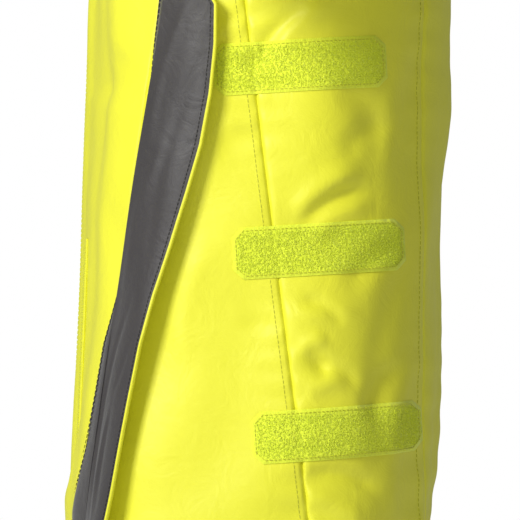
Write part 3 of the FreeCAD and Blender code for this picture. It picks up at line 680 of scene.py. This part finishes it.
def sleeveWrinkle(s, turn):
    ring = (np.sin(s / 11.5 + 1.7 * np.sin(turn * 2 + 0.4) + 0.8 * np.sin(turn * 3))
        * np.exp(-((s - 335) / 62) ** 2) * (0.45 + 0.55 * np.cos(turn - 0.3)))
    top = (np.sin(s / 16 + 2.2 * np.sin(turn + 1.1)) * np.exp(-((s - 110) / 55) ** 2)
        * (0.55 - 0.45 * np.cos(turn)))
    under = (np.sin(s / 14 + 2.4 * np.sin(turn * 2)) * np.exp(-((s - 150) / 45) ** 2)
        * (0.5 + 0.5 * np.cos(turn)))
    wrist = np.sin(s / 8.5 + 1.9 * np.sin(turn * 3 + 1)) * np.exp(-((s - 600) / 34) ** 2)
    broad = np.sin(s / 90 + turn * 2) + 0.7 * np.sin(s / 57 - turn * 3 + 2) + 0.5 * np.sin(s / 35 + turn * 4)
    return sleeveSet["wrinkle"] * (0.9 * ring + 0.6 * top + 0.8 * under + 0.45 * wrist) + 1.1 * broad


def sleeveOffset(s, turn, start):
    calm = smooth(0, 26, s - start) * (1 - smooth(628, 642, s))
    seam = seamPull(s - start - 3, turn * 100, 13.0, 0.8)
    return sleeveWrinkle(s, turn) * calm + np.where(s - start < 40, seam, 0)


def sleevePiece(name, s, turn, offset, material, wall, size, body="jacket"):
    clothPiece(name, laid(sleevePoint(s, turn, offset))[:, ::-1], material, wall, size, body)


turns = np.linspace(0, 2 * math.pi, sleeveSet["cols"] + 1)
starts = sleeveStart(turns)
starts[-1] = starts[0]
ring = np.linspace(0, 2 * math.pi, 300)
edge = np.interp(ring, turns, starts)
for side in sides:
    handed["right"] = side == "right"
    title, tab = side.title(), f"cuff_tab_{side}"
    shift, share = (1.9 * 9, 0.9) if handed["right"] else (0.0, 1)      # the two sleeves crease differently
    s = (starts - 3) + (arm["length"] - starts + 3) * np.linspace(0, 1, sleeveSet["rows"])[:, None]
    sleevePiece("sleeve" + title, s, turns, sleeveOffset(s + shift, turns, starts) * share, yellowShell, 1.1,
        (690.0, 700.0))
    few = starts[::3]
    s = (few + 6) + (arm["length"] - 2 - few) * np.linspace(0, 0.99, 70)[:, None]
    sleevePiece("sleeveLining" + title, s, turns[::3], -3.2 + sleeveOffset(s, turns[::3], few) * 0.9,
        greyLining, 0.7, (680.0, 660.0))
    # cuff band, with a rolled edge
    s = between(640.5, 695.0, 24)[:, None]
    roll = 2.4 - 1.3 * smooth(690, 695.5, s) - 0.9 * (1 - smooth(640, 643.5, s))
    sleevePiece("cuff" + title, s, turns, roll + 0.35 * np.sin(turns * 9 + s / 17), yellowShell, 1.6,
        (455.0, 55.0))
    for s in (645.0, 689.0):
        stitch("jacket", laid(sleevePoint(s, ring, 2.75)))
    for s in (edge + 3.5, edge + 9.0):
        stitch("jacket", laid(sleevePoint(s, ring, sleeveOffset(s, ring, edge) + seamSet["proud"])))
    # cuff tab with a rounded end, and its two patches
    s = between(650.5, 684.5, 20)[:, None]
    t = np.linspace(0, 1, 60)[None, :]
    end = 17 - np.sqrt(np.maximum(17 ** 2 - (s - 667.5) ** 2, 0))
    turn = np.radians(150.0) * (1 - t) + np.radians(245.0 - 0.55 * end / 75 * 57.3) * t
    belly = 8.6 + 0.5 * np.sin(t * 5) - 0.5 * smooth(0.97, 1.0, t)
    sleevePiece("cuffTab" + title, s, turn, belly, yellowShell, 1.7, (128.0, 34.0), tab)
    for s in (653.5, 681.5):
        stitch(tab, laid(sleevePoint(s, np.radians(between(152.0, 240.0, 90)), 8.95)))
    stitch(tab, laid(sleevePoint(between(654.0, 681.0, 20), np.radians(241.0), 8.95)))
    s = between(654.5, 680.5, 18)[:, None]
    turn = np.radians(between(210.0, 280.0, 60))[None, :]
    nap = 4.9 + 0.25 * np.sin(s * 1.9) * np.sin(turn * 97)
    sleevePiece("cuffLoopPatch" + title, s, turn, nap, loopPile, 1.4, (98.0, 26.0))
    turn = np.radians(between(219.0, 243.0, 24))[None, :]
    nap = 6.3 + 0.08 * np.sin(s * 2.3) * np.sin(turn * 120)
    sleevePiece("cuffHookPatch" + title, s, turn, nap, hookPile, 0.8, (34.0, 26.0), tab)
handed["right"] = False
print("sleeves")

# hood: a dome cut by planes into its panels
hoodSet = {"rows": 130, "cols": 260, "centre": 48.0,
    "opening": -62.0, "visorLow": 975.0, "visorDepth": 26.0, "top": 1045.0}
hoodFolds = [(40, 730, 80, 790, -3.0, 9), (60, 760, 96, 850, 2.2, 11), (-40, 735, 20, 722, -2.4, 8),
    (-30, 850, 10, 900, -1.8, 12), (20, 960, 60, 990, 1.6, 12)]


def hoodPoint(z, angle, offset):
    top = hoodSet["top"]
    z, angle, offset = spread(z, angle, offset)
    p = formPoint(hood, np.minimum(z, top), angle, offset, 0.0)
    over = np.clip((z - top) / 30.0, 0, 1)
    middle = np.array([0.0, 5.0, 0.0])
    p = np.where((z > top)[..., None], (p - middle) * np.cos(over * quarter)[..., None] + middle, p)
    p[..., 2] = np.where(z > top, top + 7.0 * np.sin(over * quarter), p[..., 2])
    p[..., 2] += offset * smooth(960, 1040, z)
    return p


def hoodDrape(p):
    x, y, z = p[..., 0], p[..., 1], p[..., 2]
    d = 1.5 * waves(p * 1.15 + 40)
    d += seamPull(np.abs(x) - hoodSet["centre"], y + z, 14.0, 1.1) * (z > 760)
    d += foldsAt(y, z, hoodFolds) * smooth(30, 80, np.abs(x))
    return d * smooth(-62, -40, y)


def hoodStart(angle):
    # the height at which the hood comes out of the body, round the neck
    z = np.linspace(640, 800, 321)
    p = formPoint(hood, z[None, :], angle[:, None], -1.5, 0.0)
    grown = [[h[0], h[1] + 1.2, h[2] + 1.2, h[3] + 1.2, h[4]] for h in torso]
    inside = insideness(grown, p) < 1
    last = inside.shape[1] - np.argmax(inside[:, ::-1], axis=1)
    low = np.where(inside.any(1), z[np.clip(last, 0, len(z) - 1)], 690)
    low = np.where(low > 745, 702, low)
    for lap in range(3):
        low = (np.roll(low, 1) + 2 * low + np.roll(low, -1)) / 4
    low[-1] = low[0]
    return low


hoodAngle = np.linspace(-quarter, 3 * quarter, hoodSet["cols"] + 1)
hoodLow = hoodStart(hoodAngle)
t = np.linspace(0, 1, hoodSet["rows"])[:, None]
hoodZ = hoodLow + (1075.0 - hoodLow) * (t * 0.72 + 0.28 * t ** 0.8)


def hoodGrid(offset, loose=1.0):
    return hoodPoint(hoodZ, hoodAngle, offset + loose * hoodDrape(hoodPoint(hoodZ, hoodAngle, 0.0)))


def planeCut(obj, cuts):
    # cuts: points in mm and the side that is thrown away
    bm = bmesh.new()
    bm.from_mesh(obj.data)
    bmesh.ops.remove_doubles(bm, verts=bm.verts, dist=0.00002)
    for point, way in cuts:
        bmesh.ops.bisect_plane(bm, geom=bm.verts[:] + bm.edges[:] + bm.faces[:], plane_no=way,
            plane_co=toFrame(point).tolist(), clear_outer=True, dist=1e-7)
    bm.to_mesh(obj.data)
    bm.free()
    return obj


opening = ((0, hoodSet["opening"], 0), (0, -1, 0))
middle = hoodSet["centre"]
hoodCuts = {"hoodCentre": [((middle, 0, 0), (1, 0, 0)), ((-middle, 0, 0), (-1, 0, 0)), opening],
    "hoodSideLeft": [((middle, 0, 0), (-1, 0, 0)), opening],
    "hoodSideRight": [((-middle, 0, 0), (1, 0, 0)), opening]}
for name, cuts in hoodCuts.items():
    obj = planeCut(gridMesh(name, hoodGrid(0.0), yellowShell), cuts)
    finishCloth(obj, 1.2, (340.0, 420.0), "hood")
obj = planeCut(gridMesh("hoodVisor", hoodGrid(2.6, 0.0), yellowShell),
    [opening, ((0, hoodSet["opening"] + hoodSet["visorDepth"], 0), (0, 1, 0)),
    ((0, 0, hoodSet["visorLow"]), (0, 0, -1))])
finishCloth(obj, 1.9, (260.0, 26.0), "hood")

# a sewn band joins the hood's rear edge to the yoke, passing from the body's form to the hood's
bandSet = {"half": 52.0, "low": 684.0, "high": 736.0, "rows": 27, "cols": 53}
z = between(bandSet["low"], bandSet["high"], bandSet["rows"])[:, None]
t = between(-1.0, 1.0, bandSet["cols"])[None, :]
taper = 1 - 0.12 * smooth(0.5, 1.0, np.abs(t)) * np.abs(z - 710) / 26
angle = quarter + np.radians(bandSet["half"]) * t * taper
part = smooth(696, 716, z)[..., None]
band = gridMesh("hoodRootBand", formPoint(torso, z, angle, 3.4) * (1 - part)
    + hoodPoint(z, angle, 3.2) * part, yellowShell)
finishCloth(band, 1.0, (190.0, 52.0), body=None)
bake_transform(band)

hoodSkin = hoodGrid(0.35)


def hoodCurve(axis, place):
    # the line along which the hood's surface passes a plane
    line = []
    for row, points in zip(hoodSkin[..., axis] - place, hoodSkin):
        for h in np.where(row[:-1] * row[1:] < 0)[0]:
            f = row[h] / (row[h] - row[h + 1])
            line.append(points[h] * (1 - f) + points[h + 1] * f)
    return np.array(line)


for sign in (1, -1):
    for away in (44.5, 51.5):
        line = hoodCurve(0, sign * away)
        rear = line[(line[:, 1] > 10)]
        fore = line[(line[:, 1] < 0) & (line[:, 1] > -60) & (line[:, 2] > 1000)]
        for part in (rear[np.argsort(rear[:, 2])], fore[np.argsort(fore[:, 2])]):
            if len(part) > 4:
                stitch("hood", part)
    line = hoodCurve(1, -56.0)
    line = line[(line[:, 0] * sign > 3) & (line[:, 2] < 973)]
    stitch("hood", line[np.argsort(line[:, 2])])
print("hood")

# side vents: loop strips, then the flap, its facing, pads and root band
ventSet = {"lift": 11.0, "low": 31.0, "high": 449.0, "width": 47.0, "bevel": 12.0}
# heights and the flap's two edges, round the side
flapRows = np.array([[30, -147, -120], [60, -145, -114], [79, -140, -110], [115, -131.4, -103],
    [152, -124, -96], [188, -117.5, -88.5], [225, -106.6, -78.5], [261, -98.6, -66.5], [298, -90.5, -55],
    [334, -84, -44.5], [371, -82.5, -37.5], [407, -79.6, -34], [440, -76, -33.6], [452, -75, -34]])
rootRows = np.array([[30, -127.8], [90, -121.2], [150, -113.7], [210, -105.7], [270, -96.7], [330, -87.6],
    [390, -78.1], [450, -68.6]])
flapFolds = [(14, 60, 22, 215, -1.5, 3.4), (27, 70, 35, 190, -1.1, 3.0), (20, 60, 28, 160, 1.2, 3.6),
    (8, 330, 24, 440, 0.9, 4.5), (30, 250, 38, 400, -0.8, 5.0), (12, 220, 20, 330, 0.8, 5.0)]
edgeHeights = np.linspace(20, 460, 120)


def rootLine(z):
    return np.interp(z, rootRows[:, 0], rootRows[:, 1])


def solvedAngle(z, y, offset, loose):
    # the angle at which the draped surface, grown by offset, reaches a depth
    angle = angleAtSide(z, np.maximum(y, -138.0))
    for lap in range(5):
        here = skin(z, angle, offset, loose)[..., 1]
        ahead = skin(z, angle + 0.01, offset, loose)[..., 1]
        angle = angle + np.clip((y - here) / np.maximum((ahead - here) / 0.01, 25.0), -0.08, 0.08)
    return angle


def edgeTable(column, offset, loose):
    y = np.interp(edgeHeights, flapRows[:, 0], flapRows[:, column])
    lift = flapLift(edgeHeights) if column == 2 else 0.0
    least = angleAtSide(edgeHeights, np.maximum(hingeLine(edgeHeights) - 14, -142))
    return np.maximum(solvedAngle(edgeHeights, y, offset + lift, loose), least)


def flapPoints(z, t, offset):
    # across the flap from its sewn edge to its free edge
    outer = np.interp(z, edgeHeights, freeAngles)
    angle = angleAtSide(z, rootLine(z)) * (1 - t) + outer * t
    return skin(z, angle, offset + flapLift(z) * smooth(0, 1, t) ** 0.8, 0.35)


def flapWave(z, t):
    tall = foldsAt(*spread(t * ventSet["width"], z), flapFolds)
    return tall + 0.5 * np.sin(z / 37 + t * 3) + 0.3 * np.sin(z / 13 + t * 5) * t


def flapLift(z):
    return ventSet["lift"] * (0.75 + 0.25 * np.sin(z / 120 + 0.6)) + 3 * (1 - smooth(40, 140, z))


def bevelled(z, t):
    # pulls the top outer corner in
    over = np.maximum(0, z - (ventSet["high"] - ventSet["bevel"]))
    return t * (1 - over / ventSet["width"])


z = between(ventSet["low"], ventSet["high"], steps(418, fine))[:, None]
cutT = bevelled(z, np.linspace(0, 1, steps(47, fine * 0.8))[None, :])
edgeT = cutT[:, -1:]
wave, edgeWave = flapWave(z, cutT), flapWave(z, edgeT)
roll = np.linspace(0, 1, 7)[None, :] * math.pi
for side in sides:
    handed["right"] = side == "right"
    title, flap = side.title(), f"vent_flap_{side}"
    freeAngles, hingeAngles = edgeTable(2, 6.7, 0.35), edgeTable(1, 1.4, 0.6)
    clothPiece("ventFlapFacing" + title, laid(flapPoints(z, cutT, 6.7 + wave)), greyFacing, 0.9,
        (44.0, 418.0), flap)
    # the yellow underside turns over the free edge as a narrow roll
    shell = flapPoints(z, cutT, 5.0 + wave)
    rim = flapPoints(z, edgeT + 0.012 * np.sin(roll), 5.0 + edgeWave + 2.1 * (1 - np.cos(roll)) / 2 * 1.1)
    tuck = flapPoints(z, edgeT - 0.02, 7.1 + edgeWave)
    clothPiece("ventFlapShell" + title, laid(np.concatenate([shell, rim[:, 1:], tuck], 1)), yellowShell, 0.7,
        (50.0, 418.0), flap)
    up, across = z[:, 0], between(0.06, 0.66, 20)
    line = flapPoints(up, 0.915 * bevelled(up, 1.0), 7.0 + flapWave(up, 0.915))
    top = flapPoints(444.0, across, 7.0 + flapWave(444.0, across))
    for run in (line, top):
        stitch(flap, laid(run), "dark", "grey_fabric", 3.2)
    # root band, sewn to the body along the flap's hinge
    t = np.linspace(0, 1, 12)[None, :]
    start = np.interp(z, edgeHeights, hingeAngles)
    end = angleAtSide(z, rootLine(z) + 0.4)
    rise = 0.9 + 5.6 * smooth(0.0, 1.0, t) - 0.6 * (1 - smooth(0, 0.12, t))
    clothPiece("ventFlapBand" + title, laid(skin(z, start * (1 - t) + end * t, rise, 0.6)), greyFacing, 0.8,
        (14.0, 418.0))
    for t in (0.16, 0.34):
        line = skin(z, start * (1 - t) + end * t, 1.3 + 5.6 * smooth(0.0, 1.0, t) + 0.1, 0.6)[:, 0]
        stitch("jacket", laid(line), "dark", "grey_fabric", 4.2)
print("vent flaps")

# loop strips: a base with a rolled border, and a nap of small loops
stripSet = {"length": 127.0, "height": 38.0, "bevel": 7.0, "slope": 3.5,
    "loops": 5200}
stripPlaces = {"lower": (124.0, 56.0), "middle": (258.0, 42.0), "upper": (392.0, 28.0)}


def loopRing(k, count=3):
    # one of five rings along an arch of thread
    a = math.pi * (0.12 + 0.76 * k / 4)
    centre = Vector((math.cos(a) * 0.5, 0, math.sin(a)))
    across = Vector((0, 1, 0))
    up = Vector((-math.sin(a) * 0.5, 0, math.cos(a))).normalized().cross(across)
    turns = [j * 2 * math.pi / count for j in range(count)]
    return [centre + 0.16 * (across * math.cos(turn) + up * math.sin(turn)) for turn in turns]


def napTree():
    tree, given = startTree("loop nap", {"Loops per area": 1.0e6, "Loop width": 0.0011,
        "Loop height": 0.0011, "Seed": 5})
    points = add(tree, "GeometryNodeDistributePointsOnFaces", {
        "Mesh": given["Geometry"], "Density": given["Loops per area"], "Seed": given["Seed"]})
    turn = add(tree, "FunctionNodeRandomValue", {"Seed": given["Seed"]}, data_type="FLOAT_VECTOR")
    turn.inputs[0].default_value = (-0.5, -0.5, 0.0)
    turn.inputs[1].default_value = (0.5, 0.5, 6.283)
    lean = add(tree, "FunctionNodeEulerToRotation", {"Euler": turn.outputs[0]})
    spin = add(tree, "FunctionNodeRotateRotation", {
        "Rotation": points.outputs["Rotation"], "Rotate By": lean.outputs["Rotation"]},
        rotation_space="LOCAL")
    return endTree(tree, given, points.outputs["Points"], spin.outputs["Rotation"],
        ("Loop width", "Loop width", "Loop height"))


loopPiece = rodObject("loop", [loopRing(k) for k in range(5)])
loopNap = napTree()


def stripPoint(centreZ, centreY, u, v, offset):
    # u along the strip and v up it, both from its middle
    tilt = math.radians(stripSet["slope"])
    y = centreY + u * math.cos(tilt) - v * math.sin(tilt)
    z = centreZ + u * math.sin(tilt) + v * math.cos(tilt)
    z, y, offset = spread(z, y, offset)
    return skin(z, solvedAngle(z, y, offset, 1.0), offset)


def stripGrid(centreZ, centreY, offset, margin=0.0, pitch=2.4):
    half, tall = stripSet["length"] / 2 - margin, stripSet["height"] / 2 - margin
    u = between(-half, half, steps(2 * half, pitch))[None, :]
    t = between(-1.0, 1.0, steps(2 * tall, pitch))[:, None]
    reach = tall - np.maximum(0, np.abs(u) - (half - stripSet["bevel"]))
    border = np.minimum(half - np.abs(u), reach - np.abs(t * reach))
    return stripPoint(centreZ, centreY, u, t * reach, offset - 1.2 * (1 - smooth(0, 2.2, border)))


half, tall, bevel = stripSet["length"] / 2 - 2.6, stripSet["height"] / 2 - 2.6, stripSet["bevel"] - 1
corners = [(-half, -tall + bevel), (-half + bevel, -tall), (half - bevel, -tall), (half, -tall + bevel),
    (half, tall - bevel), (half - bevel, tall), (-half + bevel, tall), (-half, tall - bevel),
    (-half, -tall + bevel)]
border = np.concatenate([np.linspace(a, b, 30) for a, b in zip(corners, corners[1:])])
for side in sides:
    handed["right"] = side == "right"
    for level, (height, reach) in stripPlaces.items():
        title = level.title() + side.title()
        clothPiece("ventLoopStrip" + title, laid(stripGrid(height, reach, 1.9)), loopPile, 1.3,
            (stripSet["length"], stripSet["height"]))
        ground = gridMesh("napGround", laid(stripGrid(height, reach, 1.8, 1.6, 4.0)), loopPile)
        nap = runTree(ground, loopNap, {"Loops per area": stripSet["loops"] / areaOf(ground),
            "Piece": loopPiece, "Material": loopPile})
        addPiece("loopNap" + title, nap, "jacket")
        line = stripPoint(height, reach, border[:, 0], border[:, 1], 2.25)
        stitch("jacket", laid(line), "yellow", "loop_pile", 3.2)
print("loop strips")

# hook pads under the vent flaps, one mesh for the three of a side
padSet = {"half": 11, "from": 0.3, "to": 0.62, "wall": 0.8, "length": 0.066}
for side in sides:
    handed["right"] = side == "right"
    freeAngles = edgeTable(2, 6.7, 0.35)
    bm = bmesh.new()
    for height, reach in stripPlaces.values():
        z = between(height - padSet["half"], height + padSet["half"], 12)[:, None]
        t = np.linspace(padSet["from"], padSet["to"], 8)[None, :]
        nub = 0.12 * np.sin(z * 2.6) * np.sin(t * 150)
        pad = gridMesh("pad", laid(flapPoints(z, t, 3.9 + nub + flapWave(z, t)))[:, ::-1], hookPile)
        thicken(pad, padSet["wall"], outwards=True)
        bm.from_mesh(pad.data)
        bpy.data.objects.remove(pad)
    bmesh.ops.recalc_face_normals(bm, faces=bm.faces)
    mesh = bpy.data.meshes.new("pads")
    bm.to_mesh(mesh)
    bm.free()
    mesh.materials.append(hookPile)
    pads = newObject("ventFlapHookPads" + side.title(), mesh)
    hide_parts(f"vent_flap_hook_pads_{side}")
    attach(pads, f"vent_flap_{side}")

# front zip: woven tapes beside the teeth, and the draught flap behind
zipSet = {"tape": (4.3, 32.0), "low": 26.0, "high": 810.0}
z = between(zipSet["low"], zipSet["high"], steps(784, 6))[:, None]
x = between(*zipSet["tape"], 14)[None, :]
for side in sides:
    handed["right"] = side == "right"
    points = laid(formPoint(torso, z, angleAtFront(z, x), -2.2 - 1.1 * smooth(6, 12, x)))
    clothPiece("zipTape" + side.title(), points, tapeWeave, 0.7, (28.0, 784.0))
handed["right"] = False
z = between(14.0, 745.0, steps(731, 7))[:, None]
x = between(-30.0, 34.5, 20)[None, :]
angle = angleAtFront(z, np.abs(x))
points = formPoint(torso, z, np.where(x < 0, -math.pi - angle, angle), -10.8 + 0.4 * np.sin(z / 33 + x / 9))
clothPiece("stormFlap", points, yellowShell, 0.9, (64.5, 731.0))
print("zip")

# hand pockets: a welt flap over the slit, and the bag behind it
pocketSet = {"flapX": (83.0, 111.0), "flapZ": (104.0, 266.0), "bagZ": (75.0, 266.0)}
for side in sides:
    handed["right"] = side == "right"
    title, flap = side.title(), f"pocket_flap_{side}"
    z = between(*pocketSet["flapZ"], steps(162, 2.6))[:, None]
    x = between(*pocketSet["flapX"], 16)[None, :]
    corner = np.maximum(0, np.abs(z - 185) - 75)
    x = x[:, :1] + (x - x[:, :1]) * (1 - (corner / 28) ** 2 * 0.9)
    puff = 1.3 + 0.5 * np.sin((x - 83) / 28 * math.pi) - 0.9 * smooth(108.5, 111, x)
    clothPiece("pocketFlap" + title, laid(skin(z, angleAtFront(z, x), puff, 0.15)), yellowShell, 1.1,
        (28.0, 162.0), flap)
    up = between(110.0, 260.0, 60)
    for x in (86.0, 107.0):
        stitch(flap, laid(skin(up, angleAtFront(up, x), 1.75, 0.15)))
    z = between(*pocketSet["bagZ"], 26)[:, None]
    turn = np.linspace(0, 1, 30)[None, :] * 2 * math.pi
    end = np.abs(z - 170) / 96
    x = 100 - 38.5 * np.cos(turn) * (1 - 0.5 * smooth(0.85, 1.0, end) ** 2)
    depth = -15.5 + 6.0 * np.sin(turn) * (1 - 0.75 * smooth(0.8, 1.0, end))
    clothPiece("pocketBag" + title, laid(formPoint(torso, z, angleAtFront(z, x), depth)), greyLining, 0.7,
        (156.0, 191.0))
handed["right"] = False
print("pockets")

# hanger loop at the back of the neck
t = np.linspace(0, 1, 50)[:, None] * math.pi
across = np.linspace(-0.5, 0.5, 6)[None, :]
points = np.stack(spread(-22.5 * np.cos(t), 71.5 + across * 3.0, 752.0 + 34.0 * np.sin(t) ** 0.55), -1)
clothPiece("hangerLoop", points, greyFacing, 1.4, (4.0, 120.0), soft=False)

makeStitches()

for name, material in (("zip_teeth_left", toothPlastic), ("zip_teeth_right", toothPlastic),
        ("zip_stops", zipMetal), ("zip_slider", zipMetal), ("zip_puller", zipMetal)):
    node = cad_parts[name]
    node.data.materials.clear()
    node.data.materials.append(material)
print("stitches and zip metal")

# stage, light and camera; a light has its place, target, size and power
stageSet = {"floorSize": 9.4, "floorHeight": -1.0, "sky": 0.24,
    "lights": {"key": ((2.55, -1.9, 0.9), (0.2, -0.07, -0.5), 0.9, 107.0),
    "rear": ((-2.8, 0.5, 1.6), (0, 0, -0.4), 1.6, 14.0),
    "fill": ((2.2, 2.0, -0.2), (0.2, -0.07, -0.5), 1.6, 0.6)}}
bpy.ops.mesh.primitive_plane_add(size=stageSet["floorSize"], location=(0, 0, stageSet["floorHeight"]))
floor = bpy.context.object
floorPaint, _, floorShader = newMaterial("pale floor")
floorShader.inputs["Base Color"].default_value = (0.86, 0.86, 0.86, 1)
floorShader.inputs["Roughness"].default_value = 0.8
floor.data.materials.append(floorPaint)
world = bpy.data.worlds.new("studio")
world.use_nodes = True
bpy.context.scene.world = world
sky = world.node_tree
sky.nodes.clear()
seen = add(sky, "ShaderNodeBackground", Color=(1, 1, 1, 1))
soft = add(sky, "ShaderNodeBackground", Color=(0.96, 0.98, 1, 1), Strength=stageSet["sky"])
ray = add(sky, "ShaderNodeLightPath")
blend = add(sky, "ShaderNodeMixShader", {"Fac": ray.outputs["Is Camera Ray"], 1: soft.outputs[0],
    2: seen.outputs[0]})
add(sky, "ShaderNodeOutputWorld", {"Surface": blend.outputs["Shader"]})


def aim(obj, place, target):
    obj.location = place
    obj.rotation_euler = (Vector(target) - Vector(place)).to_track_quat("-Z", "Y").to_euler()


for name, (place, target, size, power) in stageSet["lights"].items():
    light = bpy.data.lights.new(name, "AREA")
    light.size, light.energy = size, power
    aim(newObject(name, light), place, target)

cameraSet = {"distance": 4.0, "lens": 379.4, "look": (0.225, -0.073, -0.536)}
camera = bpy.data.cameras.new("camera")
camera.lens = cameraSet["lens"]
camera.sensor_width = 36.0
camera.clip_end = 50.0
view = newObject("camera", camera)
look = Vector(cameraSet["look"])
aim(view, look + Vector((cameraSet["distance"], 0, 0)), look)
bpy.context.scene.camera = view
bpy.context.scene.view_settings.view_transform = "Standard"
